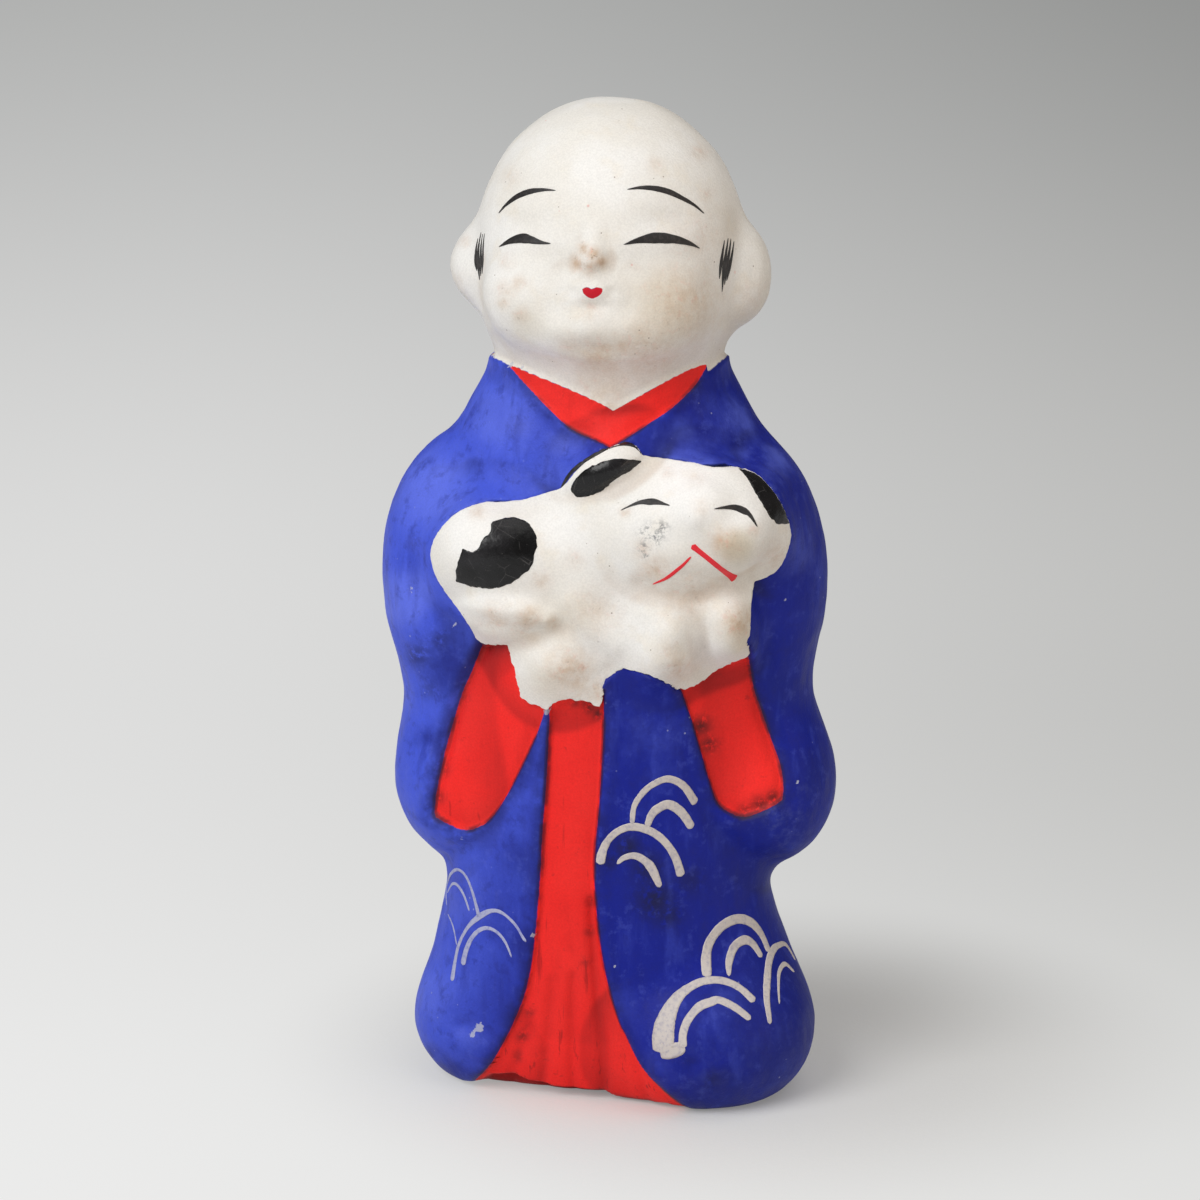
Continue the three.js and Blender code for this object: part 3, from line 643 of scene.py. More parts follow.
def pressed_skin():
    """The doll's outside as a grid of points, with what the paint needs to know at each of them."""
    origin, heading = rays(np.arange(last_row + 1))
    p = cast(doll, origin, heading, REACH)
    outward = slopes(doll, p)
    front = p[:, 1] < HALF_SLIP + 0.1
    skin = p[:, 2] - BACK_NECKLINE + 0.35 * ripple(p, 16, 9) + 0.15 * ripple(p, 4, 10)
    linings, robe, collar, lips = np.full((4, len(p)), FAR_OUTSIDE)
    skin_front, linings[front], robe[front], collar[front] = paint_edges(p[front])
    behind = ease(p[front, 1], -5, HALF_SLIP)
    skin[front] = skin_front * (1 - behind) + skin[front] * behind
    at = picture(p[front])
    lips[front] = inside_edge(at, LIPS)
    height = uneven(p)
    height[front] += modelled(p[front], linings[front], robe[front]) * (1 - behind)
    neckline = np.maximum(skin, collar)
    height -= COLLAR_STEP * ease(neckline, -0.3, 0.4) * np.exp(-np.maximum(neckline, 0) / STEP_RUN)
    height -= SKIN_STEP * ease(skin, -0.25, 0.35) * np.exp(-np.maximum(skin, 0) / STEP_RUN)
    low = np.clip(FOOT_ROUNDING - p[:, 2], 0, FOOT_ROUNDING)
    height -= FOOT_ROUNDING - np.sqrt(FOOT_ROUNDING ** 2 - low ** 2)
    marks = {
        "white": np.minimum(skin, -lips),
        "red": np.max([linings, robe, collar, lips], axis=0),
        # The hollow mark darkens creases and sunk places in the paint: painted shade.
        "hollow": bend(doll, p) * 2.2 - np.minimum(height, 0) * 0.25,
        "stain_and_shade": np.zeros(len(p)),
        "smudge": np.zeros(len(p)),
        "wash_and_shading": np.zeros(len(p)),
        "chip": np.zeros(len(p)),
    }
    for name, dabs in (("stain_and_shade", STAINS_AND_SHADE), ("smudge", COAT_SMUDGES), ("chip", CHIPS)):
        marks[name][front] = dabbed(at, dabs) * (1 - behind)
    marks["wash_and_shading"][front] = (dabbed(at, PALE_WASHES_AND_PAINTED_LIGHT) - dabbed(at, DEEP_WASHES_AND_PAINTED_SHADE + SHADED_AND_YELLOWED_WHITES)) * (1 - behind)
    marks["hollow"][front] *= 1 - dabbed(at, LESS_CREASE_SHADE)
    surface = p + outward * height[:, None]
    # Under the puppy the coat is plain, and it rises to the puppy's edge close to that edge.
    rear, foot, top = PUPPY_COVER
    close = front & (p[:, 2] > foot) & (p[:, 2] < top) & (p[:, 1] < rear)
    inside = np.full(len(p), FAR_OUTSIDE)
    inside[close] = puppy_inside(surface[close])
    under = inside > 0
    plain = cast(child, origin[under], heading[under], REACH)
    share = ease(inside[under], 0.05, 0.8)[:, None]
    surface[under] = surface[under] * (1 - share) + plain * share
    level = np.repeat(heights, len(columns)) <= COAT_FOOT
    surface[level, 2] = np.repeat(heights, len(columns))[level]
    shape = (last_row + 1, len(columns))
    return surface.reshape(*shape, 3), {name: values.reshape(shape) for name, values in marks.items()}


def cells_of(grid):
    """The corners of each cell of a grid of point numbers."""
    return np.stack([grid[:-1, :-1], grid[:-1, 1:], grid[1:, 1:], grid[1:, :-1]], -1).reshape(-1, 4)


def skin_facing(grid):
    """The outward direction at each point of the skin grid, smooth across the joints between the pieces."""
    beside = np.roll(grid, -1, axis=1)
    tilt = np.cross(beside[1:] - grid[:-1], grid[1:] - beside[:-1])
    facing = np.zeros_like(grid)
    for rows in (slice(None, -1), slice(1, None)):
        facing[rows] += tilt + np.roll(tilt, 1, axis=1)
    facing[-1] = facing[-1].sum(0)
    return facing / np.maximum(np.linalg.norm(facing, axis=-1, keepdims=True), 1e-12)


def linked(name, data):
    """A new object of the scene, at the origin."""
    item = bpy.data.objects.new(name, data)
    bpy.context.scene.collection.objects.link(item)
    return item


def shown(name, points, faces, finishes, smooth, tints, marks, facing=None):
    """A mesh object from points in millimetres, with its finishes, its paint marks and the way its skin faces."""
    mesh = bpy.data.meshes.new(name)
    mesh.from_pydata((np.asarray(points) * MM).tolist(), [], [list(map(int, face)) for face in faces])
    for finish in finishes:
        mesh.materials.append(finish)
    mesh.polygons.foreach_set("use_smooth", smooth)
    mesh.polygons.foreach_set("material_index", tints)
    for mark, values in marks.items():
        mesh.attributes.new(mark, "FLOAT", "POINT").data.foreach_set("value", np.asarray(values, np.float32))
    if facing is not None:
        mesh.attributes.new("facing", "FLOAT_VECTOR", "POINT").data.foreach_set("vector", facing.ravel())
    work = bmesh.new()
    work.from_mesh(mesh)
    bmesh.ops.remove_doubles(work, verts=work.verts, dist=1e-7)
    work.to_mesh(mesh)
    work.free()
    if facing is not None:
        face_skin(mesh)
    return linked(name, mesh)


def face_skin(mesh):
    """Gives the smooth faces of a mesh the directions that were stored for its points."""
    facing = np.zeros(len(mesh.vertices) * 3)
    mesh.attributes["facing"].data.foreach_get("vector", facing)
    mesh.attributes.remove(mesh.attributes["facing"])
    smooth, sides = np.zeros(len(mesh.polygons), bool), np.zeros(len(mesh.polygons), int)
    mesh.polygons.foreach_get("use_smooth", smooth)
    mesh.polygons.foreach_get("loop_total", sides)
    corners = np.zeros(len(mesh.loops), int)
    mesh.loops.foreach_get("vertex_index", corners)
    mesh.normals_split_custom_set(facing.reshape(-1, 3)[corners] * np.repeat(smooth, sides)[:, None])


def clay_wall(name, outer, inner, under, marks, facing, finishes, ring=False):
    """A closed piece of clay wall between a fine outer grid and a coarse inner grid that lies under some rows."""
    rows, width = outer.shape[:2]
    steps = len(inner)
    out = np.arange(rows * width).reshape(rows, width)
    into = rows * width + np.arange(steps * width).reshape(steps, width)
    skin = cells_of(out)
    lining = cells_of(into)[:, [0, 3, 2, 1]]
    bottom = np.stack([out[0, :-1], into[0, :-1], into[0, 1:], out[0, 1:]], -1)
    top = np.stack([out[-1, :-1], out[-1, 1:], into[-1, 1:], into[-1, :-1]], -1)
    faces = [*skin, *lining, *bottom, *top]
    if not ring:
        for edge, flip in ((0, False), (width - 1, True)):
            for i, (low, high) in enumerate(zip(under, under[1:])):
                rim = [(out[k, edge], out[k + 1, edge], into[i, edge]) for k in range(low, high)]
                rim.append((out[high, edge], into[i + 1, edge], into[i, edge]))
                faces += [face[::-1] for face in rim] if flip else rim
    painted = np.arange(len(faces)) < len(skin)
    points = np.vstack([outer.reshape(-1, 3), inner.reshape(-1, 3)])
    marks = {mark: np.append(values.ravel(), np.zeros(steps * width)) for mark, values in marks.items()}
    facing = np.vstack([facing.reshape(-1, 3), np.zeros((steps * width, 3))])
    return shown(name, points, faces, finishes, painted, (~painted).astype(int), marks, facing)


def trimmed(points, inside, faces):
    """The part of a sheet that lies inside an edge, cut along that edge."""
    points = list(points)
    cuts = {}
    kept = []

    def cut(a, b):
        key = (min(a, b), max(a, b))
        if key not in cuts:
            share = inside[a] / (inside[a] - inside[b])
            cuts[key] = len(points)
            points.append(points[a] + share * (points[b] - points[a]))
        return cuts[key]

    for face in faces:
        loop = []
        for a, b in zip(face, face[1:] + face[:1]):
            if inside[a] > 0:
                loop.append(a)
            if (inside[a] > 0) != (inside[b] > 0):
                loop.append(cut(a, b))
        if loop:
            kept.append(loop)
    used = sorted({i for face in kept for i in face})
    place = {old: new for new, old in enumerate(used)}
    return np.array([points[i] for i in used]), [[place[i] for i in face] for face in kept]


def pressed_puppy():
    """The puppy's front, trimmed to its edge: points, faces and what the paint needs to know."""
    across, above = np.meshgrid(np.arange(*PUPPY_ACROSS, PUPPY_CELL), np.arange(*PUPPY_ABOVE, PUPPY_CELL))
    origin = np.stack([across.ravel(), 0 * across.ravel(), above.ravel()], 1)
    p = cast(doll, origin, np.tile([0.0, -1.0, 0.0], (len(origin), 1)), PUPPY_REACH)
    p = p + slopes(doll, p) * (uneven(p) + puppy_modelled(p) + PUPPY_PAINT)[:, None]
    inside = puppy_inside(p)
    grid = np.arange(len(p)).reshape(across.shape)
    cells = cells_of(grid)
    cells = cells[(inside[cells] > 0).any(1)]
    points, faces = trimmed(p, inside, cells.tolist())
    at = picture(points)
    marks = {
        "white": np.full(len(points), -FAR_OUTSIDE),
        "red": np.full(len(points), FAR_OUTSIDE),
        # The hollow mark darkens the puppy's creases: painted shade.
        "hollow": bend(doll, points) * 1.6 - np.minimum(puppy_modelled(points), 0) * 0.4,
        "stain_and_shade": dabbed(at, STAINS_AND_SHADE),
        "smudge": dabbed(at, SOOT),
        "wash_and_shading": dabbed(at, PALE_WASHES_AND_PAINTED_LIGHT) - dabbed(at, SHADED_AND_YELLOWED_WHITES),
        "chip": np.zeros(len(points)),
    }
    return points, faces, marks


def sheet_sides(faces, count):
    """The rim round a sheet and its rear, whose points follow the points of the front."""
    sides = {(a, b) for face in faces for a, b in zip(face, face[1:] + face[:1])}
    rim = [(b, a, a + count, b + count) for a, b in sides if (b, a) not in sides]
    return rim, [[i + count for i in face[::-1]] for face in faces]


def puppy_body(points, faces, marks, finishes):
    """The puppy as a closed pressing: its front, a back that follows the coat, and the wall between them."""
    origin = points * (1, 0, 1)
    back = cast(child, origin, np.tile([0.0, -1.0, 0.0], (len(points), 1)), PUPPY_REACH)
    back[:, 1] = np.maximum(back[:, 1] - PUPPY_BED, points[:, 1] + PUPPY_RIM)
    rim, rear = sheet_sides(faces, len(points))
    smooth = np.arange(len(faces) + len(rim) + len(rear)) < len(faces)
    tints = (np.arange(len(smooth)) >= len(faces) + len(rim)).astype(int)
    marks = {mark: np.append(values, values) for mark, values in marks.items()}
    return shown("puppy_pressing", np.vstack([points, back]), [*faces, *rim, *rear], finishes, smooth, tints, marks)


def puppy_spots(points, faces, finish):
    """The puppy's black spots: a film of paint that lies on its front and is chipped along its edges."""
    at = picture(points)
    inside = np.max([inside_edge(at, outline) for outline in (HAUNCH_SPOT, RIGHT_EAR_SPOT, LEFT_EAR_SPOT)], axis=0)
    inside += 0.10 * ripple(points, 1.3, 7) + 0.06 * ripple(points, 0.6, 8)
    front, cells = trimmed(points, inside, [face for face in faces if (inside[face] > 0).any()])
    outward = slopes(doll, front)
    rim, rear = sheet_sides(cells, len(front))
    smooth = np.arange(len(cells) + len(rim) + len(rear)) < len(cells)
    film = np.vstack([front + SPOT_BODY * outward, front - SPOT_BODY * outward])
    return shown("puppy_spots", film, [*cells, *rim, *rear], [finish], smooth, 0 * smooth, {})


def join(tree, value, socket):
    """Links an output to a socket, or sets a plain value there."""
    if isinstance(value, bpy.types.NodeSocket):
        tree.links.new(value, socket)
    else:
        socket.default_value = value


def add_node(tree, kind, values, out=0, **options):
    """A new node with its options and inputs set. Gives back one of its outputs."""
    node = tree.nodes.new(kind)
    for option, value in options.items():
        setattr(node, option, value)
    for key, value in values.items():
        join(tree, value, node.inputs[key])
    return node.outputs[out]


class Finish:
    """A finish of paint or clay, put together from nodes whose sizes are given in millimetres."""

    def __init__(self, name):
        self.material = bpy.data.materials.new(name)
        self.material.use_nodes = True
        self.tree = self.material.node_tree
        self.shader = self.tree.nodes["Principled BSDF"]
        self.place = self.tree.nodes.new("ShaderNodeTexCoord").outputs["Object"]

    def set(self, name, value):
        join(self.tree, value, self.shader.inputs[name])

    def add(self, kind, values, out=0, **options):
        return add_node(self.tree, kind, values, out, **options)

    def sum(self, operation, a, b=0.0, c=0.0):
        return self.add("ShaderNodeMath", {0: a, 1: b, 2: c}, operation=operation)

    def times(self, a, b):
        return self.sum("MULTIPLY", a, b)

    def mark(self, name):
        return self.add("ShaderNodeAttribute", {}, out="Fac", attribute_name=name)

    def mapped(self, size, stretch, shift):
        scale = [part / (size * MM) for part in stretch]
        return self.add("ShaderNodeMapping", {"Vector": self.place, "Scale": scale, "Location": shift})

    def noise(self, size, detail=3.0, roughness=0.55, stretch=(1, 1, 1), shift=(0, 0, 0)):
        where = self.mapped(size, stretch, shift)
        return self.add("ShaderNodeTexNoise",
                        {"Vector": where, "Scale": 1.0, "Detail": detail, "Roughness": roughness})

    def specks(self, size, reach, shift=(0, 0, 0)):
        """Scattered round specks: 1 at the middle of a speck, 0 away from it."""
        cell = self.add("ShaderNodeTexVoronoi", {"Vector": self.mapped(size, (1, 1, 1), shift), "Scale": 1.0})
        return self.between(cell, reach, reach * 0.6)

    def between(self, value, start, end):
        """From 0 to 1 as a value goes from a start to an end."""
        return self.add("ShaderNodeMapRange", {0: value, 1: start, 2: end}, interpolation_type="SMOOTHSTEP")

    def blend(self, share, a, b):
        return self.add("ShaderNodeMix", {0: share, 6: a, 7: b}, out=2, data_type="RGBA")

    def over(self, colour, share, strength, tint):
        """A colour with a tint laid over it, as strongly as given."""
        return self.blend(self.times(share, strength), colour, tint)

    def level(self, share, a, b):
        return self.add("ShaderNodeMix", {0: share, 2: a, 3: b}, out=0, data_type="FLOAT")

    def grain(self, height, depth, normal=None):
        values = {"Strength": 1.0, "Distance": depth * MM, "Height": height}
        if normal is not None:
            values["Normal"] = normal
        return self.add("ShaderNodeBump", values)

    def finish(self, colour, roughness, normal, shine=0.5):
        self.shader.inputs["Specular IOR Level"].default_value = shine
        self.set("Base Color", colour)
        self.set("Roughness", roughness)
        self.set("Normal", normal)
        return self.material


def rgb(red, green, blue):
    return (red, green, blue, 1.0)


def painted_skin():
    """Chalk white, blue and red paint on the doll, with brush marks, stains, chips, painted shade in the creases and
    patches of painted light and shade.
    """
    f = Finish("doll_paint")
    wander = f.sum("SUBTRACT", f.noise(0.8, 3.0), 0.5)
    hollow, stain_and_shade, wash_and_shading, chip = (f.mark(name) for name in ("hollow", "stain_and_shade", "wash_and_shading", "chip"))
    edges = {name: f.sum("MULTIPLY_ADD", wander, reach, f.mark(name))
             for name, reach in (("white", 0.22), ("red", 0.16))}
    white, red = (f.between(edges[name], -0.05, 0.05) for name in ("white", "red"))
    cloud = f.noise(11.0, 4.0)
    streak = f.noise(2.4, 4.0, stretch=(1, 1, 0.22), shift=(3, 1, 2))
    fine = f.noise(0.35, 3.0)
    # Creases darken every colour as painted shade, brownish on the white.
    crease = f.between(hollow, 0.08, 0.75)
    ridge = f.between(hollow, -0.22, -0.6)

    place = f.add("ShaderNodeSeparateXYZ", {0: f.place}).node
    # The blue is lighter towards the left hand and the top: thinner paint there, and painted light from the left.
    side = f.sum("MULTIPLY_ADD", f.sum("SUBTRACT", 0.06, place.outputs["Z"]), 0.2, place.outputs["X"])
    side = f.sum("MULTIPLY_ADD", f.sum("SUBTRACT", cloud, 0.5), 0.02, side)
    thin = f.between(side, 0.004, -0.022)
    sooty = f.times(f.mark("smudge"), f.between(f.noise(1.2, 4.0, 0.65, shift=(3, 7, 2)), 0.32, 0.52))
    # A darker band of blue beside the red panels: painted shade along the steps to them.
    shade_beside_red = f.times(f.between(edges["red"], -2.6, -0.2), f.between(f.noise(3.0, 3.0), 0.3, 0.6))
    blue_paint = f.blend(thin, rgb(0.005, 0.014, 0.29), rgb(0.064, 0.110, 0.73))
    uneven_wash_and_shading = f.sum("MULTIPLY_ADD", f.sum("SUBTRACT", f.noise(4.0, 5.0, 0.6, shift=(1, 1, 4)), 0.5), 0.7, wash_and_shading)
    # Pale patches are partly painted light and deep ones partly painted shade.
    pale, deep = f.between(uneven_wash_and_shading, 0.1, 0.9), f.between(uneven_wash_and_shading, -0.1, -0.9)
    blue_paint = f.over(blue_paint, pale, 0.6, rgb(0.15, 0.21, 0.88))
    blue_paint = f.over(blue_paint, deep, 0.8, rgb(0.008, 0.016, 0.22))
    blue_paint = f.over(blue_paint, f.between(cloud, 0.5, 0.72), 0.3, rgb(0.060, 0.092, 0.58))
    blue_paint = f.over(blue_paint, f.between(streak, 0.52, 0.78), 0.25, rgb(0.075, 0.115, 0.68))
    blue_paint = f.over(blue_paint, f.between(streak, 0.48, 0.25), 0.35, rgb(0.009, 0.013, 0.19))
    blue_paint = f.over(blue_paint, shade_beside_red, 0.55, rgb(0.008, 0.010, 0.11))
    blue_paint = f.over(blue_paint, crease, 0.75, rgb(0.008, 0.009, 0.065))
    blue_paint = f.over(blue_paint, sooty, 0.85, rgb(0.010, 0.010, 0.045))
    mottle = f.noise(2.4, 5.0, 0.68, shift=(5, 5, 1))
    blue_paint = f.over(blue_paint, f.between(mottle, 0.52, 0.68), 0.35, rgb(0.010, 0.015, 0.20))
    blue_paint = f.over(blue_paint, f.between(mottle, 0.46, 0.30), 0.16, rgb(0.12, 0.17, 0.76))
    dusty = f.times(ridge, f.between(f.noise(1.3, 4.0, 0.65), 0.42, 0.7))
    blue_paint = f.over(blue_paint, dusty, 0.25, rgb(0.20, 0.25, 0.58))
    nicks = f.times(f.specks(2.6, 0.07), f.between(cloud, 0.46, 0.62))
    blue_paint = f.over(blue_paint, nicks, 0.6, rgb(0.40, 0.44, 0.62))

    red_paint = f.blend(f.between(cloud, 0.3, 0.7), rgb(0.97, 0.022, 0.018), rgb(1.0, 0.030, 0.024))
    red_paint = f.over(red_paint, f.between(streak, 0.46, 0.26), 0.22, rgb(0.58, 0.012, 0.010))
    dragged = f.between(f.noise(1.0, 3.0, 0.6, stretch=(1, 1, 0.06), shift=(5, 1, 0)), 0.60, 0.70)
    dragged = f.times(dragged, f.between(place.outputs["Z"], 0.060, 0.036))
    red_paint = f.over(red_paint, dragged, 0.5, rgb(0.24, 0.008, 0.010))
    red_paint = f.over(red_paint, crease, 0.75, rgb(0.20, 0.006, 0.008))
    smear = f.between(f.noise(1.6, 5.0, 0.65, shift=(7, 2, 1)), 0.62, 0.74)
    red_paint = f.over(red_paint, smear, 0.3, rgb(0.18, 0.012, 0.014))
    red_paint = f.over(red_paint, sooty, 0.9, rgb(0.055, 0.010, 0.012))
    red_paint = f.blend(f.between(place.outputs["Z"], 0.114, 0.116), red_paint, rgb(0.60, 0.010, 0.026))

    white_paint = f.blend(f.between(cloud, 0.35, 0.65), rgb(0.865, 0.84, 0.79), rgb(0.91, 0.90, 0.875))
    # On the white the pale patches are a painted highlight.
    white_paint = f.blend(f.between(wash_and_shading, 0.1, 0.8), white_paint, rgb(0.95, 0.94, 0.92))
    # Where the mark is low the white turns darker and warmer: painted shade.
    white_paint = f.over(white_paint, f.between(wash_and_shading, -0.05, -0.9), 0.8, rgb(0.70, 0.63, 0.50))
    yellowed = f.between(f.noise(5.0, 4.0, shift=(4, 4, 4)), 0.52, 0.75)
    white_paint = f.over(white_paint, yellowed, 0.3, rgb(0.84, 0.75, 0.60))
    white_paint = f.over(white_paint, crease, 0.42, rgb(0.50, 0.36, 0.26))
    # Brown where the stain marks lie: real stains, and painted shade under the nose, chin and jaw and on the puppy's
    # lower parts.
    blotch = f.times(stain_and_shade, f.level(f.between(f.noise(1.5, 4.0, 0.6, shift=(1, 5, 2)), 0.36, 0.66), 0.5, 1.0))
    white_paint = f.over(white_paint, blotch, 0.85, rgb(0.60, 0.42, 0.28))
    spotted = f.times(stain_and_shade, f.between(f.noise(0.6, 4.0, 0.65, shift=(8, 5, 2)), 0.60, 0.70))
    white_paint = f.over(white_paint, spotted, 0.45, rgb(0.20, 0.11, 0.055))
    rosy = f.times(stain_and_shade, f.between(f.noise(1.1, 3.0, shift=(9, 1, 3)), 0.55, 0.72))
    white_paint = f.over(white_paint, rosy, 0.35, rgb(0.76, 0.34, 0.25))
    soot = f.times(f.mark("smudge"), f.between(f.noise(0.8, 5.0, 0.8), 0.46, 0.58))
    white_paint = f.over(white_paint, soot, 0.8, rgb(0.15, 0.155, 0.17))
    flecks = f.times(f.specks(2.2, 0.06, (2, 6, 1)), f.between(f.noise(6.0, 2.0), 0.45, 0.6))
    white_paint = f.over(white_paint, flecks, 0.75, rgb(0.20, 0.13, 0.09))
    pinkish = f.times(f.specks(4.2, 0.07, (5, 3, 8)), f.between(f.noise(9.0, 2.0, shift=(3, 3, 0)), 0.5, 0.6))
    white_paint = f.over(white_paint, pinkish, 0.5, rgb(0.75, 0.25, 0.2))

    colour = f.blend(red, blue_paint, red_paint)
    overlap = f.between(f.sum("ABSOLUTE", edges["red"]), 0.5, 0.1)
    overlap = f.times(overlap, f.between(f.noise(4.5, 3.0, shift=(2, 8, 5)), 0.34, 0.6))
    overlap = f.times(overlap, f.between(edges["white"], -0.8, -1.8))
    colour = f.over(colour, overlap, 0.75, rgb(0.030, 0.012, 0.028))
    colour = f.blend(white, colour, white_paint)
    scraped = f.between(f.sum("MULTIPLY_ADD", f.sum("SUBTRACT", f.noise(0.6, 4.0, 0.65), 0.5), 1.4, chip), 0.42, 0.52)
    scraped = f.times(scraped, f.between(chip, 0.02, 0.2))
    colour = f.over(colour, scraped, 0.7, rgb(0.55, 0.57, 0.66))
    speck = f.level(f.between(f.noise(0.28, 2.0, 0.6, shift=(2, 2, 7)), 0.3, 0.7), 0.95, 1.04)
    colour = f.add("ShaderNodeVectorMath", {0: colour, "Scale": speck}, operation="SCALE")

    roughness = f.level(f.between(streak, 0.3, 0.7), 0.46, 0.62)
    roughness = f.level(red, roughness, f.level(fine, 0.5, 0.68))
    roughness = f.level(white, roughness, f.level(fine, 0.66, 0.86))
    pits = f.times(f.specks(1.7, 0.13, (4, 2, 9)), f.between(cloud, 0.45, 0.6))
    normal = f.grain(f.sum("SUBTRACT", fine, f.times(pits, 0.8)), 0.05)
    normal = f.grain(streak, 0.09, normal)
    coats = f.sum("ADD", f.times(white, 0.6), f.times(red, -0.3))
    normal = f.grain(coats, 0.05, normal)
    return f.finish(colour, roughness, normal, 0.22)


def spot_black():
    """Glossy black paint, a little worn and cracked."""
    f = Finish("spot_black")
    cloud, hairs = f.noise(9.0, 3.0), f.noise(0.6, 4.0, 0.65)
    colour = f.blend(f.between(cloud, 0.4, 0.62), rgb(0.004, 0.004, 0.0045), rgb(0.013, 0.0125, 0.0145))
    cracks = f.add("ShaderNodeTexVoronoi", {"Vector": f.mapped(3.4, (1, 1, 1), (1, 1, 1)), "Scale": 1.0},
                   feature="DISTANCE_TO_EDGE")
    cracked = f.times(f.between(cracks, 0.014, 0.004), f.between(f.noise(2.5, 2.0), 0.5, 0.6))
    colour = f.over(colour, cracked, 0.25, rgb(0.20, 0.19, 0.19))
    dusty = f.between(f.noise(0.5, 5.0, 0.75, shift=(4, 1, 1)), 0.62, 0.72)
    colour = f.over(colour, dusty, 0.25, rgb(0.30, 0.29, 0.28))
    normal = f.grain(f.noise(1.8, 3.0), 0.10, f.grain(hairs, 0.02))
    return f.finish(colour, f.level(hairs, 0.20, 0.34), normal, 0.35)


def bare_clay():
    """Low-fired clay: warm brown, sandy, with finger drags."""
    f = Finish("bare_clay")
    cloud, sand = f.noise(7.0, 4.0), f.noise(0.3, 3.0)
    drag = f.noise(2.2, 4.0, stretch=(0.25, 1, 1))
    colour = f.blend(f.between(cloud, 0.3, 0.7), rgb(0.36, 0.17, 0.09), rgb(0.52, 0.28, 0.16))
    colour = f.over(colour, f.between(sand, 0.58, 0.72), 0.5, rgb(0.62, 0.43, 0.29))
    colour = f.over(colour, f.between(drag, 0.5, 0.3), 0.35, rgb(0.22, 0.11, 0.07))
    normal = f.grain(drag, 0.25, f.grain(sand, 0.1))
    return f.finish(colour, f.level(sand, 0.8, 0.98), normal)


def line_paint(name, body, thin, sheen):
    """A line drawn with a brush: fuller and thinner paint along the hairs' way."""
    f = Finish(name)
    hairs = f.noise(0.5, 4.0, 0.65)
    worn = f.between(f.noise(1.4, 4.0, 0.6, shift=(6, 2, 4)), 0.52, 0.72)
    colour = f.over(body, f.between(hairs, 0.45, 0.72), 0.6, thin)
    colour = f.over(colour, worn, 0.5, thin)
    return f.finish(colour, f.level(hairs, sheen, sheen + 0.25), f.grain(hairs, 0.05))


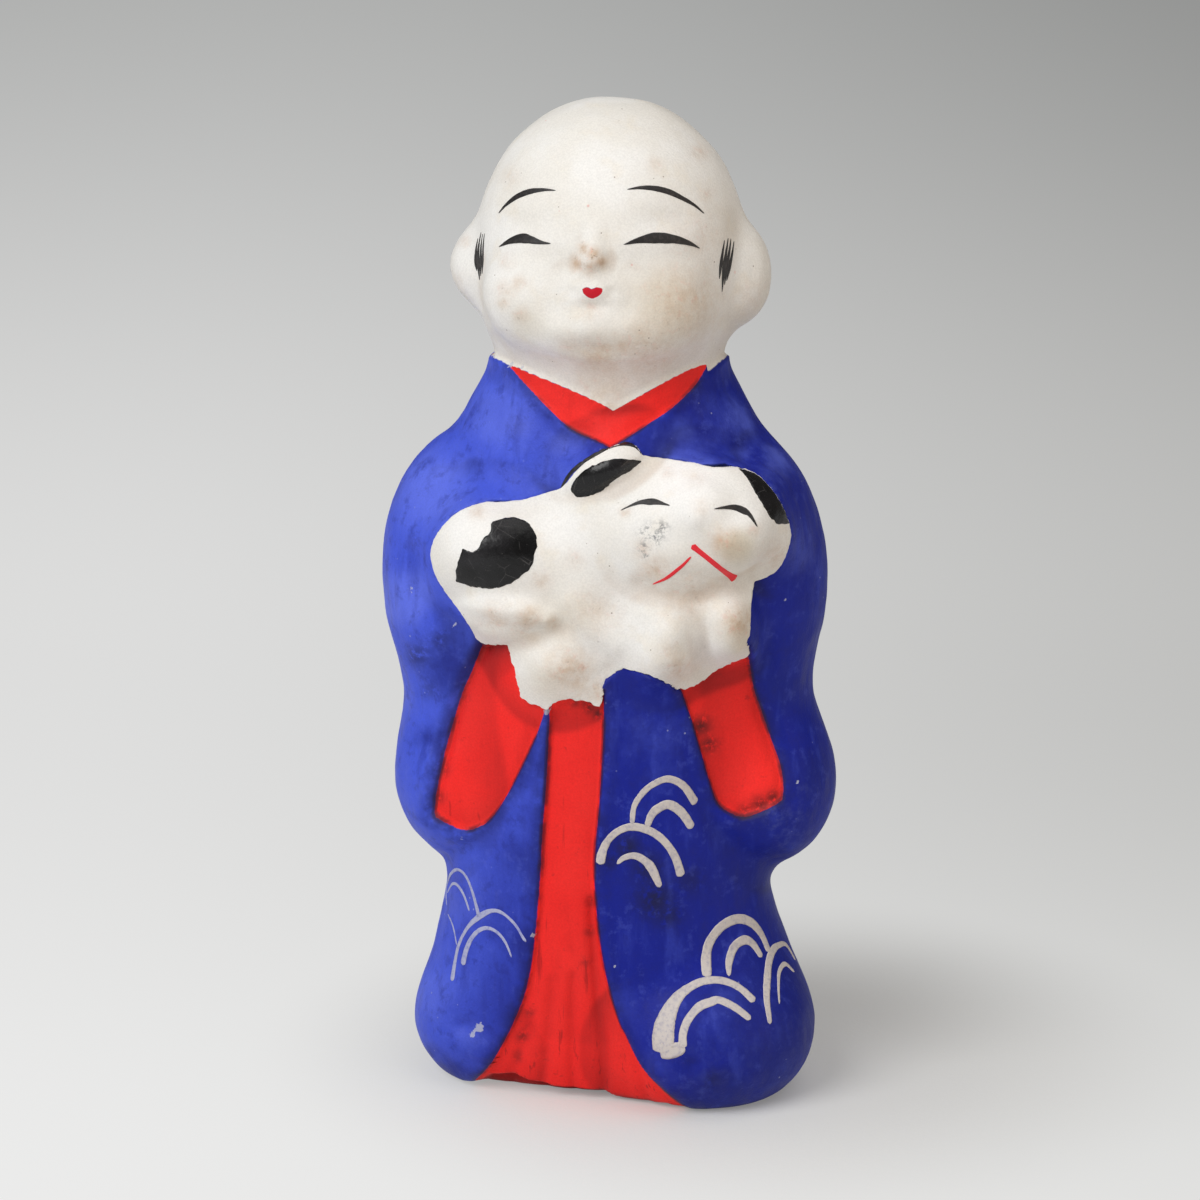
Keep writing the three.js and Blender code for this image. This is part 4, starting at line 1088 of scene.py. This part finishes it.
def brush_stroke():
    """Node tree: a film of paint that follows drawn lines over the doll's skin."""
    tree = bpy.data.node_groups.new("brush_stroke", "GeometryNodeTree")
    for name, kind in (("Geometry", "Geometry"), ("Ground", "Object"), ("Step", "Float"), ("Lift", "Float"),
                       ("Body", "Float"), ("Unevenness", "Float"), ("Grain", "Float"), ("Tip", "Float"),
                       ("Seed", "Int"), ("Paint", "Material")):
        tree.interface.new_socket(name, in_out="INPUT", socket_type="NodeSocket" + kind)
    tree.interface.new_socket("Geometry", in_out="OUTPUT", socket_type="NodeSocketGeometry")

    def add(kind, values, out=0, **options):
        return add_node(tree, kind, values, out, **options)

    def sum_of(operation, a, b=0.0, c=0.0):
        return add("ShaderNodeMath", {0: a, 1: b, 2: c}, operation=operation)

    given = tree.nodes.new("NodeGroupInput").outputs
    ground = add("GeometryNodeObjectInfo", {"Object": given["Ground"]}, out="Geometry", transform_space="RELATIVE")
    place = add("GeometryNodeInputPosition", {})
    outward = add("GeometryNodeSampleNearestSurface",
                  {"Mesh": ground, "Value": add("GeometryNodeInputNormal", {}), "Sample Position": place},
                  data_type="FLOAT_VECTOR")
    line = add("GeometryNodeResampleCurve", {"Curve": given["Geometry"], "Length": given["Step"]}, mode="LENGTH")
    line = add("GeometryNodeSetCurveNormal", {"Curve": line, "Normal": outward}, mode="FREE")
    along = add("GeometryNodeSplineParameter", {}, out="Length")
    left_over = sum_of("SUBTRACT", add("GeometryNodeSplineLength", {}), along)
    to_tip = sum_of("DIVIDE", sum_of("MINIMUM", along, left_over), given["Tip"])
    short = sum_of("SUBTRACT", 1.0, sum_of("MINIMUM", to_tip, 1.0))
    rounding = sum_of("SQRT", sum_of("MAXIMUM", sum_of("SUBTRACT", 1.0, sum_of("MULTIPLY", short, short)), 0.02))
    noise = add("ShaderNodeTexNoise", {"Vector": place, "W": given["Seed"], "Scale": given["Grain"], "Detail": 3.0},
                noise_dimensions="4D")
    swell = sum_of("MULTIPLY_ADD", sum_of("SUBTRACT", noise, 0.5), given["Unevenness"], 1.0)
    width = sum_of("MULTIPLY", add("GeometryNodeInputRadius", {}), sum_of("MULTIPLY", swell, rounding))
    across = add("GeometryNodeCurvePrimitiveLine", {"Start": (0, -1, 0), "End": (0, 1, 0)})
    across = add("GeometryNodeResampleCurve", {"Curve": across, "Count": 7}, mode="COUNT")
    film = add("GeometryNodeCurveToMesh", {"Curve": line, "Profile Curve": across, "Scale": width})
    nearest = add("GeometryNodeProximity", {0: ground, "Source Position": place}, target_element="FACES")
    lift = add("ShaderNodeVectorMath", {0: outward, "Scale": given["Lift"]}, operation="SCALE")
    film = add("GeometryNodeSetPosition", {"Geometry": film, "Position": nearest, "Offset": lift})
    top = add("GeometryNodeExtrudeMesh",
              {"Mesh": film, "Offset": outward, "Offset Scale": given["Body"], "Individual": False})
    joined = tree.nodes.new("GeometryNodeJoinGeometry")
    tree.links.new(add("GeometryNodeFlipFaces", {"Mesh": film}), joined.inputs[0])
    tree.links.new(top, joined.inputs[0])
    whole = add("GeometryNodeMergeByDistance", {"Geometry": joined.outputs[0], "Distance": 1e-6})
    whole = add("GeometryNodeRealizeInstances", {"Geometry": whole})
    whole = add("GeometryNodeSetMaterial", {"Geometry": whole, "Material": given["Paint"]})
    tree.links.new(whole, tree.nodes.new("NodeGroupOutput").inputs[0])
    return tree


# Brush strokes as films: spacing of their points, how far they sink in, thickness, and pace of their unevenness
STROKE_STEP = 0.22 * MM
STROKE_LIFT = -0.04 * MM
STROKE_BODY = 0.10 * MM
STROKE_GRAIN = 900.0
THINNEST_STROKE = 0.3


def drawn(name, strokes, tree, ground, paint, tip, unevenness, softening=0):
    """Brush strokes as one piece. A stroke is a list of places in the picture, each with the stroke's width."""
    lines = bpy.data.curves.new(name, "CURVE")
    lines.dimensions = "3D"
    for stroke in strokes:
        path = smooth_line(stroke, 8)
        hit, met = on_doll(path[:, :2])
        hit, width = hit[met], path[met, 2]
        for _ in range(softening):
            hit[1:-1] = (hit[:-2] + 2 * hit[1:-1] + hit[2:]) / 4
        spline = lines.splines.new("POLY")
        spline.points.add(len(hit) - 1)
        spline.points.foreach_set("co", np.column_stack([hit * MM, np.ones(len(hit))]).ravel())
        spline.points.foreach_set("radius", np.maximum(width, THINNEST_STROKE) / 2 / POINTS_PER_MM * MM)
    item = linked(name + "_lines", lines)
    change = item.modifiers.new("strokes", "NODES")
    change.node_group = tree
    sizes = {"Ground": ground, "Step": STROKE_STEP, "Lift": STROKE_LIFT, "Body": STROKE_BODY, "Grain": STROKE_GRAIN,
             "Unevenness": unevenness, "Tip": tip * MM, "Seed": len(strokes), "Paint": paint}
    for socket in tree.interface.items_tree:
        if socket.in_out == "INPUT" and socket.name in sizes:
            change[socket.identifier] = sizes[socket.name]
    ready = bpy.context.evaluated_depsgraph_get()
    mesh = bpy.data.meshes.new_from_object(item.evaluated_get(ready))
    bpy.data.objects.remove(item)
    mesh.name = name
    return linked(name, mesh)


# Brush strokes: places in the picture, each with the stroke's width there
CHILD_LINES = [
    [(498, 213, 0.8), (506, 204.5, 3.4), (517, 196.8, 5.6), (530, 191.8, 5.4), (544, 190, 3.2), (556, 190.6, 0.6)],
    [(627, 189.6, 0.6), (641, 187.8, 3.4), (655, 188.6, 5.4), (669, 192, 5.6), (683, 198.6, 4.2), (694.5, 205.4, 2.8),
     (704, 213.5, 0.8)],
    [(499.5, 247, 0.6), (511, 241.3, 6.0), (521.5, 238.5, 10.2), (531, 240, 7.6), (541, 242.4, 3.6), (551, 243.6, 0.8)],
    [(623.5, 244.6, 0.6), (637, 240.8, 5.2), (650, 238.5, 9.4), (660, 238, 10.8), (673, 239.2, 8.6), (685, 242, 5.6),
     (693, 244.9, 3.0), (700, 248.4, 0.6)],
    [(477, 238, 0.9), (475.7, 250, 3.6), (475.2, 262, 4.4), (476.4, 271, 0.9)],
    [(480, 232, 0.9), (478.6, 248, 3.8), (478, 262, 5.2), (479.2, 280, 0.8)],
    [(482, 234, 0.8), (481.3, 250, 3.6), (480.8, 264, 4.4), (480.4, 276, 0.8)],
    [(484.2, 233.5, 0.8), (483.6, 248, 3.0), (482.9, 262, 3.6), (482, 274, 0.8)],
    [(724.5, 240, 0.8), (722.4, 254, 3.6), (720.8, 266, 4.6), (719.8, 279, 0.8)],
    [(728.6, 238, 0.9), (726, 254, 4.2), (724, 268, 5.4), (722.8, 292, 0.7)],
    [(732, 238.5, 0.9), (729.2, 254, 4.0), (727, 268, 5.0), (725, 285, 0.8)],
    [(735.6, 241, 0.8), (732.6, 255, 3.4), (730, 267, 4.2), (727.2, 281, 0.8)],
]
PUPPY_LINES = [
    [(621, 510.5, 0.7), (632, 505, 2.4), (641, 502, 4.8), (650, 501.4, 7.2), (657, 502, 5.0), (670, 505.5, 0.8)],
    [(714, 509, 0.8), (724, 507.6, 2.8), (735, 507.4, 5.8), (744, 510.5, 6.6), (750, 515, 4.2), (757, 527, 0.8)],
    [(561, 488, 1.6), (570, 474, 4.2), (583, 462, 4.4), (600, 452, 4.2), (618, 444.5, 4.6), (633, 445, 5.0),
     (642, 453, 1.6)],
]
PUPPY_MOUTH = [
    [(692, 545, 7.4), (698, 550, 5.4), (712, 561, 5.4), (727, 573, 6.2), (736, 580, 8.6)],
    [(691, 556, 1.6), (681, 566, 3.2), (668, 577, 3.4), (652, 586, 1.0)],
]
WAVES = [
    [(632, 824, 5), (634, 807, 5.4), (641, 795, 6), (652, 785, 6.4), (668, 779, 7), (684, 786, 7.6), (697, 804, 9)],
    [(647, 827, 6.4), (651, 816, 7.6), (657, 809, 9), (669, 804.5, 9.4), (682, 813, 9), (692, 828, 8)],
    [(600, 864, 9), (603, 850, 8), (609, 839, 7), (621, 830, 7.4), (635, 827, 8), (652, 832, 8), (665, 842, 7.6),
     (675, 857, 8), (681, 876, 9)],
    [(617, 864, 3.4), (624, 858, 5.6), (635, 856, 7), (645, 861, 8), (652, 869, 9), (660, 887, 6)],
    [(707, 977, 10), (706, 957, 10), (710, 941, 10), (722, 926, 10), (737, 919, 10), (750, 922, 9), (761, 934, 8),
     (769, 952, 7)],
    [(729, 976, 3.4), (729, 962, 8), (734, 947, 9), (744, 940, 9), (753, 944, 8), (762, 957, 7)],
    [(770, 1024, 4.6), (767, 1000, 7), (767, 980, 8), (769, 962, 8), (773, 950, 8), (779, 945, 6), (786, 945, 5),
     (795, 960, 5)],
    [(779, 1004, 1.6), (778, 985, 3), (779, 972, 4), (785, 964, 5), (794, 972, 4)],
    [(663, 1053, 21), (663, 1040, 23), (665, 1024, 21), (672, 1006, 15), (682, 993, 10), (698, 983, 8), (713, 980, 8),
     (728, 982, 8), (742, 989, 8), (755, 1001, 9)],
    [(683, 1048, 9), (683, 1034, 8), (688, 1020, 8), (699, 1007, 9), (711, 1002, 9), (719, 1000, 8), (735, 1007, 8),
     (751, 1019, 7)],
    [(660, 1050, 17), (669, 1051, 17), (678, 1049, 14), (684, 1045, 10)],
]
FAINT_WAVES = [
    [(447, 905, 1.6), (447, 889, 2.2), (450, 875, 3), (456, 868.5, 3.4), (464, 874, 3.4), (472, 890, 3.6),
     (479, 917, 5)],
    [(448, 893, 1.4), (451.5, 884.5, 2.6), (456, 883, 3), (463, 893, 3), (469, 911, 2.2)],
    [(452, 981, 6), (454, 965, 5), (459, 943, 4), (468, 926, 4.4), (480, 916, 6), (494, 909, 4), (507, 915, 3),
     (519, 928, 3), (527, 941, 2.6)],
    [(463, 965, 7), (466, 950, 6), (472, 937, 5), (483, 927, 4), (496, 930, 3.4), (506, 941, 3), (512, 957, 1.6)],
    [(448, 914, 1.2), (453, 925, 1.8), (457, 945, 1.4)],
]


def placed(piece, slot, *nodes):
    """Puts a piece on the doll in the stead of solids. The slot is not used."""
    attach(piece, "root")
    if nodes:
        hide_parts(*nodes)
    return piece


def skin_part(first, last, across):
    """Points, paint marks and facing of a part of the skin grid."""
    def part(grid):
        return grid[first:last + 1][:, across]

    return part(skin), {mark: part(values) for mark, values in marks.items()}, part(facing)


def inner_wall(first, last, steps):
    """Some of the rows between two, with the points of the hollow's skin on their rays."""
    rows = np.unique(np.linspace(first, last, steps).round().astype(int))
    origin, heading = rays(rows)
    return rows, cast(hollow, origin, heading, REACH).reshape(len(rows), len(columns), 3)


def shell(node, slot, first, last, across, steps):
    """A part of the pressed wall between two rows, in the stead of the solid of that name."""
    rows, inner = inner_wall(first, last, steps)
    outer, outer_marks, outward = skin_part(first, last, across)
    piece = clay_wall("painted_" + node, outer, inner[:, across], rows - first, outer_marks, outward,
                      [paint, clay], ring=across is ALL_ROUND)
    return placed(piece, slot, node)


def head_seam():
    """The band of slip over the crown, from the left seam up and down the right seam."""
    rows, inner = inner_wall(head_row, last_row, HEAD_SEAM_ROWS)

    def over(grid, start=0):
        return np.concatenate([grid[start:][:, LEFT_SEAM], grid[start:-1][::-1][:, RIGHT_SEAM[::-1]]])

    under = rows - head_row
    under = np.append(under, 2 * under[-1] - under[-2::-1])
    outer_marks = {mark: over(values, head_row) for mark, values in marks.items()}
    piece = clay_wall("painted_head_seam_slip", over(skin, head_row), over(inner), under, outer_marks,
                      over(facing, head_row), [paint, clay])
    return placed(piece, "fired_clay", "head_seam_slip")


def slab():
    """The slab that closes the foot, with its air hole."""
    outer, outer_marks, outward = skin_part(floor_row, slab_row, ALL_ROUND)
    centre = np.array([0, VENT_BEHIND])
    inner = outer[[0, -1]].copy()
    spoke = inner[..., :2] - centre
    inner[..., :2] = centre + VENT_RADIUS * spoke / np.linalg.norm(spoke, axis=-1, keepdims=True)
    piece = clay_wall("painted_base_slab", outer, inner, np.array([floor_row, slab_row]), outer_marks, outward,
                      [paint, clay], ring=True)
    return placed(piece, "fired_clay", "base_slab")


def drawing_ground(points, faces):
    """The skin and the puppy's front as one sheet, for strokes to lie on. It is taken away afterwards."""
    grid = np.arange(skin.shape[0] * skin.shape[1]).reshape(skin.shape[:2])
    mesh = bpy.data.meshes.new("drawing_ground")
    front = [[i + grid.size for i in face] for face in faces]
    mesh.from_pydata((np.vstack([skin.reshape(-1, 3), points]) * MM).tolist(), [], cells_of(grid).tolist() + front)
    return linked("drawing_ground", mesh)


skin, marks = pressed_skin()
facing = skin_facing(skin)
paint, clay = painted_skin(), bare_clay()
shell("face_shell", "painted_white", head_row, last_row, FRONT, HEAD_ROWS)
shell("head_back_shell", "painted_white", head_row, last_row, BEHIND, HEAD_ROWS)
shell("coat_front_shell", "painted_coat", foot_row, coat_row, FRONT, COAT_ROWS)
shell("coat_back_shell", "painted_coat", foot_row, coat_row, BEHIND, COAT_ROWS)
shell("coat_left_seam_slip", "fired_clay", foot_row, coat_row, LEFT_SEAM, COAT_ROWS)
shell("coat_right_seam_slip", "fired_clay", foot_row, coat_row, RIGHT_SEAM, COAT_ROWS)
shell("neck_slip", "fired_clay", coat_row, head_row, ALL_ROUND, RING_ROWS)
shell("foot_slip", "fired_clay", slab_row, foot_row, ALL_ROUND, RING_ROWS)
head_seam()
slab()
puppy_points, puppy_faces, puppy_marks = pressed_puppy()
placed(puppy_body(puppy_points, puppy_faces, puppy_marks, [paint, clay]), "painted_white", "puppy")
placed(puppy_spots(puppy_points, puppy_faces, spot_black()), "painted_white")

ground = drawing_ground(puppy_points, puppy_faces)
stroke_tree = brush_stroke()
black_line = line_paint("black_line", rgb(0.012, 0.011, 0.012), rgb(0.060, 0.052, 0.050), 0.35)
red_line = line_paint("red_line", rgb(0.84, 0.012, 0.030), rgb(0.86, 0.045, 0.055), 0.45)
wave_white = line_paint("wave_white", rgb(0.64, 0.59, 0.56), rgb(0.36, 0.34, 0.44), 0.5)
wave_faint = line_paint("wave_faint", rgb(0.44, 0.46, 0.66), rgb(0.17, 0.20, 0.56), 0.5)
placed(drawn("child_lines", CHILD_LINES, stroke_tree, ground, black_line, 0.15, 0.3), "painted_white")
placed(drawn("puppy_lines", PUPPY_LINES, stroke_tree, ground, black_line, 0.15, 0.6), "painted_white")
placed(drawn("puppy_mouth", PUPPY_MOUTH, stroke_tree, ground, red_line, 0.35, 0.4), "painted_white")
placed(drawn("coat_waves", WAVES, stroke_tree, ground, wave_white, 0.5, 0.35), "painted_coat")
placed(drawn("faint_waves", FAINT_WAVES, stroke_tree, ground, wave_faint, 0.5, 0.4, 24), "painted_coat")
bpy.data.objects.remove(ground)


# The sheet under the doll, in metres, and the lamps: name, place, aim, size, power and tint
SHEET_RADIUS = 6.0
SHEET_DROP = 0.1 * MM
LAMPS = [
    ("window", (-0.58, -0.83, 0.86), (0, 0, 0.08), 0.9, 11.2, (1.0, 1.0, 1.0)),
    ("ceiling", (0.42, -0.25, 1.25), (0, 0, 0.05), 1.3, 5.2, (1.0, 0.99, 0.97)),
    ("wall", (0.80, -0.36, 0.25), (0, 0, 0.08), 0.7, 1.2, (1.0, 0.78, 0.58)),
]


def table_top():
    """A wide plain sheet under the doll, paler in front and greyer far behind and to the right as painted fall-off of
    the light.
    """
    mesh = bpy.data.meshes.new("table_top")
    work = bmesh.new()
    bmesh.ops.create_circle(work, cap_ends=True, segments=96, radius=SHEET_RADIUS)
    bmesh.ops.translate(work, verts=work.verts, vec=(0, 0, -SHEET_DROP))
    work.to_mesh(mesh)
    work.free()
    f = Finish("plain_sheet")
    place = f.add("ShaderNodeSeparateXYZ", {0: f.place}).node
    depth, across = place.outputs["Y"], place.outputs["X"]
    # The sheet's tone goes evenly with the height in the picture, so it is mixed over one part by the distance.
    near = f.sum("DIVIDE", 1.0, f.sum("MAXIMUM", f.sum("ADD", depth, 0.63), 0.3))
    left = f.blend(f.between(near, 0.2, 1.15), rgb(0.365, 0.37, 0.365), rgb(0.715, 0.715, 0.71))
    right = f.blend(f.between(near, 0.2, 1.15), rgb(0.195, 0.198, 0.195), rgb(0.51, 0.51, 0.50))
    left = f.blend(f.between(near, 1.1, 1.8), left, rgb(0.83, 0.83, 0.825))
    right = f.blend(f.between(near, 1.1, 1.8), right, rgb(0.76, 0.76, 0.75))
    turn = f.times(across, near)
    colour = f.blend(f.between(turn, -0.17, 0.17), left, right)
    tooth = f.noise(0.8, 2.0)
    # The doll's shadow, which falls a little to the right and behind, is left to the lamps.
    beside = f.add("ShaderNodeVectorMath", {0: f.place, 1: (0.020, 0.012, 0.0)}, operation="SUBTRACT")
    away = f.between(f.add("ShaderNodeVectorMath", {0: beside}, out="Value", operation="LENGTH"), 0.022, 0.080)
    away = f.level(away, 0.25, 1.0)
    light = f.add("ShaderNodeLightPath", {}).node.outputs
    seen = f.sum("MAXIMUM", light["Is Glossy Ray"], light["Is Transmission Ray"])
    seen = f.sum("MAXIMUM", light["Is Camera Ray"], seen)
    lit = f.times(away, seen)
    # Away from the doll the sheet glows in these painted tones for the camera and in reflections.
    f.set("Emission Color", colour)
    f.set("Emission Strength", lit)
    body = f.blend(lit, colour, rgb(0.0, 0.0, 0.0))
    mesh.materials.append(f.finish(body, f.level(tooth, 0.8, 0.95), f.grain(tooth, 0.03), 0.1))
    item = linked("table_top", mesh)


def soft_light(name, place, aim, size, power, tint):
    """A round lamp that is turned to a place."""
    lamp = bpy.data.lights.new(name, "AREA")
    lamp.color = tint
    lamp.shape = "DISK"
    lamp.size = size
    lamp.energy = power
    item = linked(name, lamp)
    item.location = place
    item.rotation_euler = (Vector(aim) - Vector(place)).to_track_quat("-Z", "Y").to_euler()


def photograph():
    """The camera at the picture's viewing angle."""
    lens = bpy.data.cameras.new("camera")
    lens.sensor_width = 36.0
    lens.lens = lens.sensor_width * CAMERA_AWAY / PICTURE_WIDTH
    lens.clip_start, lens.clip_end = 0.01, 100.0
    item = linked("camera", lens)
    item.location = EYE * MM
    item.rotation_euler = Vector(-BACK).to_track_quat("-Z", "Y").to_euler()
    bpy.context.scene.camera = item


def surroundings():
    """Faint light from all round, and plain colours."""
    world = bpy.data.worlds.new("studio")
    world.use_nodes = True
    air = world.node_tree.nodes["Background"]
    air.inputs["Color"].default_value = rgb(1.0, 0.94, 0.86)
    air.inputs["Strength"].default_value = 0.14
    bpy.context.scene.world = world
    bpy.context.scene.view_settings.view_transform = "Standard"


table_top()
for lamp in LAMPS:
    soft_light(*lamp)
photograph()
surroundings()
